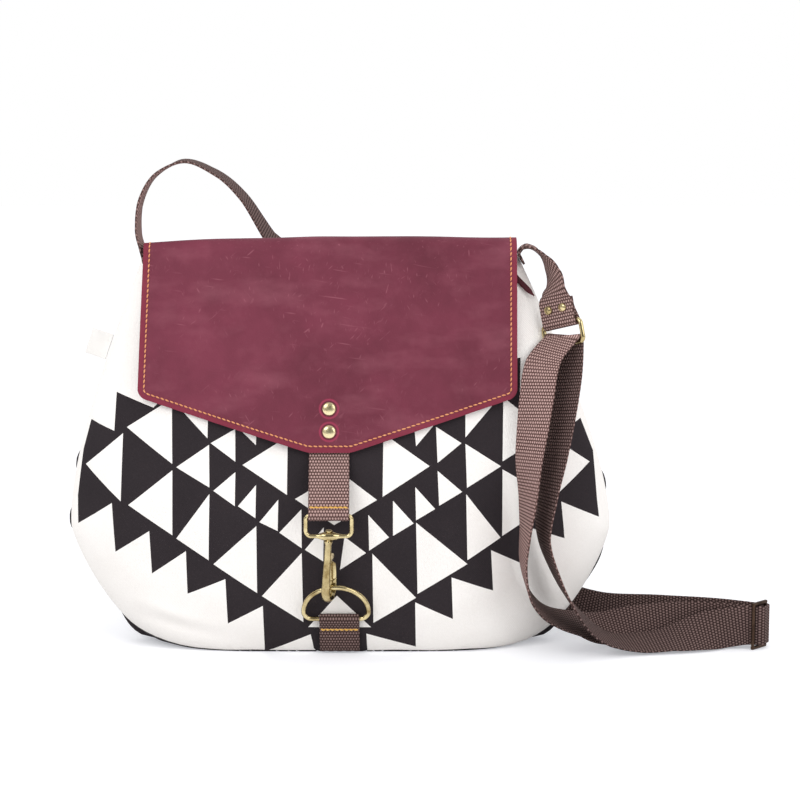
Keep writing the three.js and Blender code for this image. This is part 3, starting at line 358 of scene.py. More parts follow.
def band(name, frames, width=WEBBING_WIDTH, thickness=WEBBING, taper=None, painted_shade_and_tone=0.0):
    """A woven band with soft edges, its map across and along, and how far a darker tone and painted shade darken it.
    """
    half, thin = width / 2, thickness / 2
    edge = min(BAND_EDGE, width / 4)
    left = [(-half, 0), (-half + 0.3 * edge, 0.75 * thin), (-half + edge, thin)]
    upper = left + [(0, thin)] + [(-a, t) for a, t in reversed(left)]
    section = upper + [(a, -t) for a, t in reversed(upper[1:-1])]
    rings, places = [], []
    for centre, across, out, distance in frames:
        scale = taper(distance / frames[-1][3]) if taper else 1
        rings.append([centre + a * scale * across + t * out for a, t in section])
        places += [(a + half, distance) for a, _ in section]
    points, faces = loft(rings, capped=True)
    piece = new_piece(name, points, faces)
    weave = piece.data.uv_layers.new(name="weave")
    for loop in piece.data.loops:
        weave.data[loop.index].uv = metres(places[loop.vertex_index])
    # Per point, how far the band is darkened by a darker tone and by painted shade.
    worn = piece.data.attributes.new("painted_shade_and_tone", "FLOAT", "POINT")
    for i, point in enumerate(points):
        worn.data[i].value = painted_shade_and_tone(point, section[i % len(section)][1] > 0) if callable(painted_shade_and_tone) else painted_shade_and_tone
    return face_outwards(piece)


def stitch_row(path, length=STITCH_LENGTH, gap=STITCH_GAP, radius=THREAD_RADIUS):
    """Stitches along a path of places and normals."""
    marks = [0]
    for (a, _), (b, _) in zip(path, path[1:]):
        marks.append(marks[-1] + (b - a).length)

    def at(distance):
        i = clamp(int(np.searchsorted(marks, distance)) - 1, 0, len(path) - 2)
        share = (distance - marks[i]) / max(1e-6, marks[i + 1] - marks[i])
        (a, up), (b, next_up) = path[i:i + 2]
        return a.lerp(b, share), up.lerp(next_up, share).normalized()

    def stitch_radius(share):
        return radius * (0.6 + 0.4 * sin(pi * share))

    shapes = []
    count = int(marks[-1] / (length + gap))
    pitch = marks[-1] / max(1, count)
    for k in range(count):
        start = k * pitch + gap / 2
        first, up = at(start)
        last, _ = at((k + 1) * pitch - gap / 2)
        aside = (last - first).cross(up).normalized() * STITCH_SLANT
        line = []
        for share in spread(0, 1, STITCH_STEPS):
            place, normal = at(start + share * (pitch - gap))
            lift = STITCH_ARCH * sin(pi * share) - STITCH_SINK
            line.append((place + aside * (share - 0.5) + normal * radius * lift, normal))
        side = (line[-1][0] - line[0][0]).cross(line[2][1]).normalized()
        shapes.append(tube([place for place, _ in line], stitch_radius, side, sides=STITCH_SIDES))
    return together(shapes)


# Canvas body: its outline, profile and fullness

def bezier(*corners):
    t = np.linspace(0, 1, 240)[:, None]
    a, b, c, d = (np.array(corner, float) for corner in corners)
    return (1 - t) ** 3 * a + 3 * (1 - t) ** 2 * t * b + 3 * (1 - t) * t ** 2 * c + t ** 3 * d


def reach_curve(base, belly, mouth, below, above):
    wall = BAG_HEIGHT - BELLY_HEIGHT
    low = bezier((base, 0), (lerp(base, belly, below[0]), below[1] * BELLY_HEIGHT),
                 (belly, below[2] * BELLY_HEIGHT), (belly, BELLY_HEIGHT))
    high = bezier((belly, BELLY_HEIGHT), (belly, BELLY_HEIGHT + above[0] * wall),
                  (lerp(mouth, belly, above[1]), BELLY_HEIGHT + above[2] * wall), (mouth, BAG_HEIGHT))
    both = np.vstack([low, high[1:]])
    return lambda z: float(np.interp(z, both[:, 1], both[:, 0]))


half_width = reach_curve(BASE_HALF_WIDTH, BELLY_HALF_WIDTH, MOUTH_HALF_WIDTH, (0.55, 0.03, 0.85), (0.23, 0.53, 0.61))
half_depth = reach_curve(BASE_HALF_DEPTH, BELLY_HALF_DEPTH, MOUTH_HALF_DEPTH, (0.47, 0.05, 0.5), (0.28, 0.56, 0.63))


def centre_at(z):
    return MOUTH_SHIFT * (max(z, 0) / BAG_HEIGHT) ** 1.5


def bulge(share, z):
    """How full the body is at a share of its half width: squarer at the mouth and at the base."""
    full = FULLNESS + MOUTH_FULLNESS * (z / BAG_HEIGHT) ** 3 + BASE_FULLNESS * max(0, 1 - z / BELLY_HEIGHT) ** 2
    return max(0, 1 - min(1, abs(share)) ** full) ** (1 / BULGE_ROUND)


def canvas_depth(x, z):
    return CLEARANCE / 2 + half_depth(z) * bulge((x - centre_at(z)) / half_width(z), z)


def waves(rows, x, z):
    """A smooth ripple from rows of a height, a length across and up, and a seed."""
    return sum(height * noise.noise(Vector((x / wide, z / tall, seed))) for height, wide, tall, seed in rows)


# Heights where the canvas grows slack and where it is taut again, and how far the ring's tab holds it flat
SLACK_FOOT, SLACK_HEAD = (2, 24), (BAG_HEIGHT - 30, BAG_HEIGHT - 5)
TAB_HOLD, TAB_HOLD_HEIGHTS = 24, (45, 80)

# Creases of the canvas: middle, direction, half length, half width and depth
CREASES = [
    ((-103, 17), (0.97, -0.2), 30, 4.5, -2.2), ((-110, 26), (0.95, -0.3), 24, 4.5, 1.6),
    ((152, 66), (0.6, 0.8), 16, 5, -1.6), ((143, 58), (0.75, 0.65), 18, 6, 1.2),
    ((-150, 178), (0.35, 0.93), 12, 4, -1.0), ((-128, 60), (0.8, -0.6), 40, 12, -1.2),
    ((118, 44), (0.85, 0.5), 40, 11, -1.3), ((92, 150), (0.4, 0.9), 40, 9, -1.1),
    ((60, 30), (0.95, 0.25), 40, 9, 0.9),
]


def slack(x, z, side):
    """How far the cloth stands off its fair shape, outwards; none at its edges and under the ring's tab."""
    move = waves([(1.5, 85, 70, 3.1 * side), (0.6, 34, 40, 7.3 + side), (0.2, 13, 17, 11.7 + side)], x, z)
    for (cx, cz), (dx, dz), reach, width, depth in CREASES:
        along = (x * -side - cx) * dx + (z - cz) * dz
        across = -(x * -side - cx) * dz + (z - cz) * dx
        move += depth * exp(-(along / reach) ** 2 - (across / width) ** 2)
    held = exp(-((x - TAB_CENTRE) / TAB_HOLD) ** 2) * (1 - smooth(*TAB_HOLD_HEIGHTS, z)) if side < 0 else 0
    return move * (1 - held) * smooth(*SLACK_FOOT, z) * (1 - smooth(*SLACK_HEAD, z))


def wall_point(side, share, z, under=0, inset=0, top=BAG_HEIGHT, loose=True):
    """A point of a wall: share from -1 to 1 across, z up, under from 0 to 1 along the base to its seam."""
    x = centre_at(z) + (half_width(z) - inset) * share
    y = CLEARANCE / 2 + (half_depth(z) - inset) * bulge(share, z) * lerp(1, side * BASE_SEAM_SHARE, under)
    if loose and under == 0:
        y += slack(x, z, side) * bulge(share, z)
    return Vector((x, side * y, inset + (top - inset) * z / BAG_HEIGHT))


# Print on the front: a dark field with a toothed lower edge, pale shapes in it, and a dark band along the base that
# is part dark base cloth and part painted contact shadow.
# Places are x and height, and a height below nothing runs on under the base.
FIELD_LEFT = [
    (0, 176), (-30, 152), (-52, 170), (-80, 156), (-100, 176), (-118, 158), (-142.5, 166.5), (-144, 142),
    (-160.5, 147.5), (-166, 128), (-170, 98), (-170, 80), (-146, 96), (-144.5, 64), (-121.5, 79.5),
    (-120.5, 51.5), (-98, 67.5), (-97.5, 39.5), (-73, 50), (-72, 20.5), (-49.5, 32.5), (-49, 0),
    (-19.5, 13), (-17, 0), (-17, -16),
]
FIELD_RIGHT = [
    (30, 152), (52, 170), (80, 156), (100, 176), (107, 188), (113.5, 189), (113, 165), (136.5, 167), (139, 141),
    (153, 148.5), (161.5, 127), (164, 96.5), (165.5, 84.5), (140, 97), (142.5, 73), (120, 81.5), (118.5, 56.5),
    (95, 68), (96.5, 41.5), (70, 51), (71, 23.5), (47, 35), (47.5, 4), (16, 13.5), (16.5, 1), (16.5, -16),
]
FIELD = FIELD_LEFT + FIELD_RIGHT[::-1]
BASE_EDGE_AND_PAINTED_SHADOW = [
    (-140, 13.5), (-133, 11.2), (-127, 8.8), (-120, 6.6), (-112, 4.5), (-104, 2.9), (-94, 1.8), (-74, 1),
    (-56, 1.6), (-36, 1.2), (-10, 1.4), (14, 1), (34, 1.6), (58, 1), (82, 1.7), (110, 0.9), (110, -39), (-140, -39),
]
PALE_CORNERS = [
    (-106, 164, -135.5, 145, -106, 123), (-138, 141, -164, 119, -140, 97.5), (-106, 119, -135, 95.5, -106.5, 77.5),
    (-99, 156, -83, 160, -83.5, 139.5), (-82.5, 135.5, -103.5, 121, -82.5, 108.5),
    (-66, 145.5, -81.5, 136.5, -66, 125), (-64, 146, -52.5, 152, -53, 135.5), (-66, 118.5, -80, 106.5, -66.5, 97),
    (-82.5, 104.5, -104, 75.5, -83.5, 62), (-53, 110.5, -64.5, 97, -53.5, 89.5), (-39, 101.5, -51, 87, -39.5, 81.5),
    (-53, 84.5, -80.5, 59.5, -53, 41), (-33, 141, -61.5, 123, -33.5, 104.5), (-24.5, 95.5, -38.5, 80.5, -24.5, 70.5),
    (-24.5, 67.5, -50, 39, -24, 21.5),
    (102.5, 164.5, 131, 141.5, 102, 124.5), (133, 139, 159, 120.5, 132, 97.5), (102, 119.5, 136.5, 98.5, 102, 77),
    (96.5, 160.5, 78.5, 158, 78.5, 140), (78.5, 136, 101, 121.5, 79.5, 108.5), (60, 147, 76, 136.5, 61, 124.5),
    (59.5, 149, 46.5, 145, 47.5, 135), (61, 119.5, 76.5, 106, 62, 97.5), (79, 104.5, 101, 76, 80, 62),
    (47, 109.5, 59.5, 95.5, 47.5, 88.5), (33, 101, 46, 86.5, 33, 78.5), (47.5, 87, 80, 59.5, 48.5, 40.5),
    (27, 143, 56, 122.5, 26.5, 103.5), (17.5, 92, 30.5, 77.5, 18, 69), (20, 67, 47.5, 38, 20.5, 21),
    (0, 119, -28.5, 102, -4, 85.5, 23, 101.5), (-22.5, 69.5, -10.5, 84, -11, 62), (2.5, 78, 16, 67.5, -0.5, 56.5),
    (-2.5, 39.5, -21, 18, 19, 18),
]
PALE = [list(zip(row[::2], row[1::2])) for row in PALE_CORNERS]

# How far the back panel rolls out past the side seam: height, left and right. At the lower corners its dark canvas
# shows as a crescent that is partly painted shadow under the bag.
BACK_ROLL = [
    (0, 8, 7), (3, 9.5, 9), (8, 7, 6.5), (13, 4.5, 4), (18, 2, 2), (23, 0, 0.4), (32, 0, 0.3), (36, 0.7, 0.8),
    (44, 0.9, 1.6), (50, 0.8, 2), (54, 0.3, 2), (58, 1.2, 1.6), (63, 0, 0.8), (68, 0, 0), (78, 1.8, 0),
    (84, 1.8, 0), (92, 0, 0), (100, 0, 0.8), (106, 0, 1.4), (112, 0.6, 0.8), (120, 1.8, 0), (127, 0.6, 0),
    (135, 0, 0), (254, 0, 0),
]
ROLL_START, ROLL_SHARE = 0.9, 0.985


def inside(outline, x, z):
    hit = False
    for (ax, az), (bx, bz) in zip(outline, outline[1:] + outline[:1]):
        if (az > z) != (bz > z) and x < ax + (z - az) * (bx - ax) / (bz - az):
            hit = not hit
    return hit


def back_roll(share, z):
    """How far a place on the back panel stands out sideways, most just behind the seam."""
    heights, left, right = zip(*BACK_ROLL)
    out = float(np.interp(z, heights, left if share < 0 else right))
    reach = out + (1 - ROLL_SHARE) * half_width(z) * min(1, out)
    near = smooth(ROLL_START, ROLL_SHARE, abs(share)) * (1 - smooth(ROLL_SHARE, 1, abs(share)))
    return copysign(reach * near, share)


def panel_point(side, spot, inset=0):
    """A place on a panel from its flat map: the sine of the first gives the share across, the second the height."""
    z = spot.y * BAG_HEIGHT
    level = max(z, 0)
    point = wall_point(side, sin(spot.x), level, clamp(-z / BASE_RUN), inset)
    if side > 0:
        point.x += back_roll(sin(spot.x), level)
    return point


def panel_map():
    """A flat net over a panel."""
    columns = [pi * (c / PANEL_COLUMNS - 0.5) for c in range(PANEL_COLUMNS + 1)]
    heights = spread(-BASE_RUN, BAG_HEIGHT, PANEL_ROWS) + [0]
    return [Vector((angle, height / BAG_HEIGHT)) for angle in columns for height in heights]


def print_map(outline):
    """The edge of one field of the print on the flat net, in short steps."""
    spots = []
    for (ax, az), (bx, bz) in zip(outline, outline[1:] + outline[:1]):
        count = max(1, round(hypot(bx - ax, bz - az) / PRINT_STEP))
        for x, z in list(zip(spread(ax, bx, count), spread(az, bz, count)))[:-1]:
            level = max(z, 0)
            share = (x - centre_at(level)) / half_width(level)
            spots.append(Vector((asin(clamp(share, -1)), z / BAG_HEIGHT)))
    return spots


def dark_at(spot):
    z = spot.y * BAG_HEIGHT
    level = max(z, 0)
    x = centre_at(level) + half_width(level) * sin(spot.x)
    printed = inside(FIELD, x, z) and not any(inside(outline, x, z) for outline in PALE)
    # The band along the base takes the dark colour, partly as painted contact shadow.
    return printed or inside(BASE_EDGE_AND_PAINTED_SHADOW, x, z)


def panel(side, name, looks, slot, node, outlines):
    """One canvas panel, its mesh cut along the edges of its print."""
    spots, edges = panel_map(), []
    for outline in outlines:
        first = len(spots)
        spots += print_map(outline)
        count = len(spots) - first
        edges += [(first + k, first + (k + 1) % count) for k in range(count)]
    found, _, triangles, _, _, _ = delaunay_2d_cdt(spots, edges, [], 0, 1e-5)
    faces = [tuple(t) if side < 0 else tuple(reversed(t)) for t in triangles]
    outer = [panel_point(side, spot) for spot in found]
    inner = [panel_point(side, spot, CANVAS) for spot in found]
    piece = new_piece(name, *shelled(outer, inner, faces))
    if outlines:
        for face, triangle in zip(piece.data.polygons, triangles):
            middle = sum((found[i] for i in triangle), Vector((0, 0))) / 3
            face.material_index = 1 if dark_at(middle) else 0
    dress(piece, "bag", slot, looks, node)


def lining(look):
    def place(around, up):
        side = -1 if around < 0.5 else 1
        across = 2 * around if around < 0.5 else 2 - 2 * around
        z = max(0, up * (1 + LINING_BASE) - LINING_BASE) * BAG_HEIGHT
        under = max(0, 1 - up / (LINING_BASE / (1 + LINING_BASE)))
        point = wall_point(side, -cos(pi * across), z, under, CANVAS + CLEARANCE, BAG_HEIGHT - LINING_DROP, False)
        point.y -= side * CLEARANCE / 2
        return point

    piece = new_piece("lining_sack", *grid(place, LINING_COLUMNS, LINING_ROWS, ringed=True))
    thicken(face_outwards(piece), LINING, -1)
    dress(piece, "bag", "lining_cloth", [look], "lining")


# Zip

def lip_point(side, across, z, inset):
    share = -cos(pi * across)
    x = MOUTH_SHIFT + (MOUTH_HALF_WIDTH - inset) * share
    return Vector((x, side * (CLEARANCE / 2 + (MOUTH_HALF_DEPTH - inset) * bulge(share, BAG_HEIGHT)), z))


def zip_side(side, name, cloth, metal):
    def tape_place(across, up):
        return lip_point(side, across, top - TAPE_HEIGHT * (1 - up), ZIP_INSET)

    top = BAG_HEIGHT - TAPE_DROP
    points, faces = grid(tape_place, TAPE_COLUMNS, TAPE_ROWS)
    tape = new_piece(f"tape_{name}", points, faces if side < 0 else [f[::-1] for f in faces])
    thicken(tape, TAPE, -1)
    dress(tape, "bag", "zip_cloth", [cloth], f"zip_tape_{name}")
    height = top + CLEARANCE + TEETH_RADIUS
    inset = ZIP_INSET + TEETH_RADIUS + CLEARANCE
    line = [lip_point(side, across, height, inset) for across in spread(*TEETH_RUN, TEETH_SAMPLES)]
    tooth = box_shape((TOOTH_LENGTH, 2 * TEETH_RADIUS, 2 * TEETH_RADIUS))
    teeth = []
    travelled = 0
    for before, after in zip(line, line[1:]):
        travelled += (after - before).length
        if travelled >= TOOTH_PITCH:
            travelled = 0
            heading = (after - before).normalized()
            turn = Matrix((heading, Z.cross(heading), Z)).transposed().to_4x4()
            teeth.append(moved(tooth, Matrix.Translation(after) @ turn))
    solid(f"teeth_{name}", together(teeth), "bag", "brass", metal, f"zip_teeth_{name}", rounding=(0.3, 40))


def zip_slider(metal):
    """A plate with two wings, and a bridge for the lace on a post."""
    low, high = (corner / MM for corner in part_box("zip_slider"))
    middle = (low + high) / 2
    x, y, z = high - low
    blocks = [
        ((x, y, 1.1), (0, 0, 0.55 - z / 2)),
        ((x * 0.75, 2.4, 0.8), (0, 0, z / 2 - 0.4)),
        ((1.2, 2.4, z - 1), (-0.3 * x, 0, 0)),
        ((x * 0.9, 0.9, z * 0.6), (0, 0.5 - y / 2, -0.15 * z)),
        ((x * 0.9, 0.9, z * 0.6), (0, y / 2 - 0.5, -0.15 * z)),
    ]
    shape = together(box_shape(size, middle + Vector(offset)) for size, offset in blocks)
    solid("zip_runner", shape, "bag", "brass", metal, "zip_slider", rounding=(0.25, 40))


# The lace from the zip's slider, over the lip and down, reckoned from the right end of the mouth
LACE_ROUTE = route(
    (-12.5, 0, 3.6, Y), (-5.8, -0.5, 3.6, Y), (-4.2, -7.2, 3, (0.85, 0.5, 0)), (-3.7, -11, -3, X),
    (-3.3, -11.8, -8.5, X), (-1.5, -12, -14, (0.95, 0, 0.3)), (4, -12, -20, (0.75, 0, 0.65)),
    (10.8, -12, -26.8, (0.7, 0, 0.7)), start=(MOUTH_RIGHT, 0, BAG_HEIGHT))


def lace(look):
    frames = band_frames(LACE_ROUTE, LACE_STEPS)
    piece = band("lace", frames, LACE_WIDTH, LACE_THICKNESS, lambda share: 1 - 0.75 * smooth(0.86, 1, share) ** 2)
    dress(piece, "bag", "leather", [look], "zip_pull")
    [c * MM for c in frames[0][0]]
    frames[-1][3] * MM
    [[c * MM for c in f[0]] for f in frames]


# Leather flap

FLAP_TOP = BAG_HEIGHT + FLAP_RISE
FLAP_TIP_Z = FLAP_TOP - FLAP_TIP_DROP
UNDER_FLAP = RIVET_BACK + WEBBING + 3 * CLEARANCE
HINGE_Y = MOUTH_HALF_DEPTH - CANVAS / 2
HINGE_Z = BAG_HEIGHT + CLEARANCE
FLAP_WAVES, FLAP_SINK = [(0.9, 55, 60, 21), (0.3, 18, 22, 5)], 0.4
CLOSURE_HOLD, CLOSURE_HOLD_HEIGHTS = 20, (190, 170)


def flap_depth(x, z):
    share = (x - centre_at(z)) / MOUTH_HALF_WIDTH
    return half_depth(min(z, BAG_HEIGHT)) * (1 - FLAP_EDGE_FALL * share * share) + UNDER_FLAP + LEATHER / 2


def flap_lower_edge(x):
    from_centre = abs(x - FLAP_CENTRE)
    share = max(0, (from_centre - FLAP_TIP_WIDTH / 2) / (FLAP_WIDTH / 2 - FLAP_TIP_WIDTH / 2))
    straight = FLAP_TOP - lerp(FLAP_TIP_DROP, FLAP_SIDE_DROP, share)
    in_corner = max(0, FLAP_CORNER - max(0, FLAP_WIDTH / 2 - from_centre))
    return straight + FLAP_CORNER - sqrt(FLAP_CORNER ** 2 - in_corner ** 2)


def flap_line(x, lower):
    """The middle of the leather at one place across, from the back seam over the top and down to a height."""
    share = (x - FLAP_CENTRE) / (FLAP_WIDTH / 2)
    roof = FLAP_TOP - LEATHER / 2 - FLAP_ROOF_FALLS[share > 0] * share * share
    roof += FLAP_ROOF_WAVE * noise.noise(Vector((x / 30, 4.7, 9.1)))
    rise = roof - HINGE_Z
    radius = roof - BAG_HEIGHT
    end = radius - flap_depth(x, BAG_HEIGHT)
    line = [(lerp(HINGE_Y, end, s), HINGE_Z + rise * sin(pi / 2 * s)) for s in spread(0, 1, FLAP_ROOF_ROWS)[:-1]]
    line += [(end - radius * sin(a), roof - radius * (1 - cos(a))) for a in spread(0, pi / 2, FLAP_BEND_ROWS)]
    return line + [(-flap_depth(x, z), z) for z in spread(BAG_HEIGHT, lower, FLAP_FRONT_ROWS)[1:]]


def flap_place(x, y, z):
    """Lets the left edge lean outwards on the way down, and the leather ripple except over the closure."""
    fall = clamp((BAG_HEIGHT - z) / FLAP_SIDE_DROP)
    leftward = max(0, FLAP_CENTRE - x) / (FLAP_WIDTH / 2)
    near_closure = exp(-((x - CLOSURE_CENTRE) / CLOSURE_HOLD) ** 2) * smooth(*CLOSURE_HOLD_HEIGHTS, z)
    ripple = waves(FLAP_WAVES, x, z) * fall * (1 - near_closure)
    return Vector((x - FLAP_LEFT_FLARE * leftward * fall, y - max(-FLAP_SINK, ripple), z))


def flap_front(x, z):
    """Place and outward normal on the leather's face, down the front."""
    step = 0.5
    middle = flap_place(x, -flap_depth(x, z), z)
    right = flap_place(x + step, -flap_depth(x + step, z), z)
    above = flap_place(x, -flap_depth(x, min(z + step, BAG_HEIGHT)), z + step)
    normal = (right - middle).cross(above - middle).normalized()
    return middle + normal * LEATHER / 2, normal


def flap(look, edge_look):
    """The leather, and for its border how far each point is from the edge."""
    places = [FLAP_CENTRE + FLAP_WIDTH / 2 * sin(pi * (c / FLAP_COLUMNS - 0.5)) for c in range(FLAP_COLUMNS + 1)]
    lines = [[flap_place(x, y, z) for y, z in flap_line(x, flap_lower_edge(x))] for x in places]
    points, faces = loft(list(zip(*lines)), ringed=False)
    piece = new_piece("leather_flap", points, [face[::-1] for face in faces])
    border = piece.data.attributes.new("border", "FLOAT", "POINT")
    for i, point in enumerate(points):
        x = places[i % len(places)]
        above = point.z - flap_lower_edge(x) if point.y < 0 else FLAP_TIP_DROP
        border.data[i].value = min(FLAP_WIDTH / 2 - abs(x - FLAP_CENTRE), above)
    thicken(piece, LEATHER, 0, rim_slot=1)
    soften(piece, FLAP_ROUNDING)
    dress(piece, "flap", "leather", [look, edge_look], "flap")


STITCH_LEFT, STITCH_RIGHT = (FLAP_CENTRE + sign * (FLAP_WIDTH / 2 - STITCH_INSET) for sign in (-1, 1))


def flap_stitch_path():
    """From the top down the left edge, along the lower edge and up the right edge."""
    def down_side(x):
        line = flap_line(x, flap_lower_edge(x) + STITCH_INSET)[STITCH_FIRST_ROW:]
        side = []
        for (y, z), (ahead_y, ahead_z) in zip(line, line[1:]):
            normal = -Vector((0, ahead_y - y, ahead_z - z)).normalized().cross(X)
            normal = normal if normal.y < 0 or normal.z > 0 else -normal
            side.append((flap_place(x, y, z) + normal * LEATHER / 2, normal))
        return side

    slant = STITCH_INSET * 1.06
    along = spread(STITCH_LEFT, STITCH_RIGHT, STITCH_SAMPLES)[1:-1]
    lower = [flap_front(x, flap_lower_edge(x) + slant) for x in along]
    return down_side(STITCH_LEFT) + lower + down_side(STITCH_RIGHT)[::-1]


def flap_seam_path():
    """Along the back edge, where the flap is sewn to the back panel."""
    path = []
    for x in spread(STITCH_LEFT, STITCH_RIGHT, STITCH_SAMPLES):
        before, place, after = (flap_place(x, y, z) for y, z in flap_line(x, BAG_HEIGHT)[1:4])
        normal = X.cross(before - after).normalized()
        normal = normal if normal.z > 0 else -normal
        path.append((place + normal * LEATHER / 2, normal))
    return path


RIVET_HEIGHTS = {"lower": FLAP_TIP_Z + RIVET_FROM_TIP, "upper": FLAP_TIP_Z + RIVET_FROM_TIP + RIVET_PITCH}
FLAP_GRIP = LEATHER + WEBBING + 3 * CLEARANCE


def rivet(grip, radius):
    half = grip / 2
    cap = [(radius * cos(a), half + RIVET_CAP * (0.25 + 0.75 * sin(a))) for a in spread(0, pi / 2, 8)[:-1]]
    return turned([(0, -half - RIVET_BACK), (radius * 0.9, -half - RIVET_BACK), (radius, -half - RIVET_BACK * 0.6),
                   (radius, -half), (RIVET_SHAFT, -half), (RIVET_SHAFT, half), (radius * 0.97, half), *cap,
                   (0, half + RIVET_CAP)])


def flap_rivets(metal):
    for name, z in RIVET_HEIGHTS.items():
        lean = flap_depth(CLOSURE_CENTRE, z - 1) - flap_depth(CLOSURE_CENTRE, z + 1)
        normal = Vector((0, -2, lean)).normalized()
        face = Vector((CLOSURE_CENTRE, -flap_depth(CLOSURE_CENTRE, z), z))
        middle = face + normal * (LEATHER / 2 + CLEARANCE - FLAP_GRIP / 2)
        shape = moved(rivet(FLAP_GRIP, RIVET_RADIUS), aim(normal, middle))
        solid(f"rivet_{name}", shape, "flap", "brass", metal, f"flap_rivet_{name}")


# Closure: webbing, snap hook, D-ring and tab, placed on the joints that they turn about

JOINT = {joint["name"]: joint for joint in frame["joints"]}
BAIL_BAR, BOSS, D_RING_BAR = (
    Vector(JOINT[name]["pos_m"]) / MM for name in ("bail_swing", "hook_swivel", "d_ring_swing"))
PIN_AXIS = -Vector(JOINT["gate_press"]["axis"])
HOOK_AXIS = Vector(JOINT["hook_swivel"]["axis"])
HOOK_TURN = Matrix((PIN_AXIS, HOOK_AXIS.cross(PIN_AXIS), HOOK_AXIS)).transposed()
HOOK_FRAME = Matrix.Translation(BOSS) @ HOOK_TURN.to_4x4()


def across_stitches(name, middle, across, normal, body, thread):
    """One row of gold stitches across a band of webbing."""
    half = WEBBING_WIDTH / 2 - WEB_STITCH_INSET
    path = [(middle + across * a, normal) for a in spread(-half, half, 20)]
    row = stitch_row(path, WEB_STITCH_LENGTH, WEB_STITCH_GAP, WEB_THREAD_RADIUS)
    solid(name, row, body, "webbing", thread)


def closure(web, thread):
    """Webbing from under the flap's rivets, down round the bail and back up behind."""
    under = LEATHER / 2 + CLEARANCE + WEBBING / 2
    stations = [(Vector((CLOSURE_CENTRE, under - flap_depth(CLOSURE_CENTRE, z), z)), X)
                for z in spread(RIVET_HEIGHTS["upper"] + CLOSURE_ABOVE_RIVET, FLAP_TIP_Z, 5)]
    leave = stations[-1][0]
    ahead = (BAIL_BAR - leave).normalized()
    out = Vector((0, ahead.z, -ahead.y))
    radius = BAIL_WIRE / 2 + WRAP_CLEARANCE + WEBBING / 2
    touch = BAIL_BAR + radius * out
    angle = degrees(atan2(out.z, out.y))
    stations += [(leave.lerp(touch, share), X) for share in (0.3, 0.6, 0.85)]
    stations += wrap(BAIL_BAR, X, Y, Z, radius, angle, angle + FOLD_TURN, 9)
    stations += [(leave.lerp(touch, share) - (WEBBING + CLEARANCE) * out, X) for share in (0.72, 0.55, 0.4)]
    piece = band("closure_band", band_frames(stations, WEBBING_STEPS), painted_shade_and_tone=CLOSURE_DARKENING)
    dress(piece, "flap", "webbing", [web], "closure_webbing")
    across_stitches("closure_stitching", leave.lerp(touch, 0.89) + out * WEBBING / 2, X, out, "flap", thread)


def rounded_loop(centre, along, up, width, height, upper, lower):
    points = []
    for sx, sy, start in ((1, 1, 0), (-1, 1, 90), (-1, -1, 180), (1, -1, 270)):
        radius = upper if sy > 0 else lower
        for angle in map(radians, spread(start, start + 90, 10)):
            a = sx * (width / 2 - radius) + radius * cos(angle)
            b = sy * (height / 2 - radius) + radius * sin(angle)
            points.append(centre + a * along + b * up)
    return points


def d_ring(metal):
    up = Vector((0, -sin(D_RING_LEAN), cos(D_RING_LEAN)))
    half = (D_RING_INNER_WIDTH + D_RING_WIRE) / 2
    straight = half - D_RING_CORNER

    def arc(middle, wide, high, start, end, count):
        return [D_RING_BAR + X * (middle + wide * cos(a)) + up * (D_RING_CORNER + high * sin(a))
                for a in map(radians, spread(start, end, count))]

    loop = arc(straight, D_RING_CORNER, D_RING_CORNER, -90, 0, 10)[:-1]
    loop += arc(0, half, D_RING_REACH - D_RING_CORNER, 0, 180, 60)
    loop += arc(-straight, D_RING_CORNER, D_RING_CORNER, 180, 270, 10)[1:]
    shape = tube(loop, D_RING_WIRE / 2, X.cross(up), closed=True, sides=20)
    solid("ring_d", shape, "d_ring", "brass", metal, "d_ring")


def ring_tab(web, thread):
    """Webbing up the canvas from the base, round the D-ring's bar and back down in front."""
    def lying(heights, off):
        back = CLEARANCE + WEBBING / 2 + off
        return [(Vector((TAB_CENTRE, -canvas_depth(TAB_CENTRE, z) - back, z)), X) for z in heights]

    radius = D_RING_WIRE / 2 + CLEARANCE + WEBBING / 2
    bar = Vector((TAB_CENTRE, D_RING_BAR.y, D_RING_BAR.z))
    stations = lying(spread(TAB_FOOT, bar.z - radius, 5), 0)
    stations += wrap(bar, X, Y, Z, radius, 0, FOLD_TURN, 9)
    stations += lying(spread(bar.z - TAB_FOLD, TAB_FOOT, 5), WEBBING + CLEARANCE)
    frames = band_frames(stations, WEBBING_STEPS)
    # The tab's webbing is darkened with painted shade, as it faces down under the belly.
    dress(band("tab_band", frames, painted_shade_and_tone=TAB_PAINTED_SHADE), "bag", "webbing", [web], "d_ring_tab")
    front = frames[len(frames) // 2:]
    place, across, out, _ = min(front, key=lambda f: abs(f[0].z - TAB_STITCH_HEIGHT))
    across_stitches("tab_stitching", place + out * WEBBING / 2, across, out, "bag", thread)


def hook_bail(metal):
    """The bail, its lower bar swelling to a boss that the hook's post turns in."""
    width = WEBBING_WIDTH + 2 * CLEARANCE + BAIL_WIRE
    loop = rounded_loop(BOSS + Z * BAIL_HEIGHT / 2, X, Z, width, BAIL_HEIGHT, BAIL_WIRE, BAIL_CORNER)
    end = BOSS_LENGTH / 2
    swell = [(lerp(BAIL_WIRE / 2, BOSS_RADIUS, 1 - smooth(BOSS_MIDDLE / 4, end, abs(x))), x)
             for x in spread(-end, end, 32)]
    boss = moved(turned([(0, -end), *swell, (0, end)], 28), aim(X, BOSS))
    shape = together([tube(loop, BAIL_WIRE / 2, Y, closed=True), boss])
    solid("bail_loop", shape, "bail", "brass", metal, "hook_bail")


def spine_half_width(point):
    share = (-GATE_PIN_DROP - point.z) / (HOOK_LENGTH - GATE_PIN_DROP)
    return lerp(STEM_RADIUS, BIGHT_HALF_WIDTH, clamp(share))


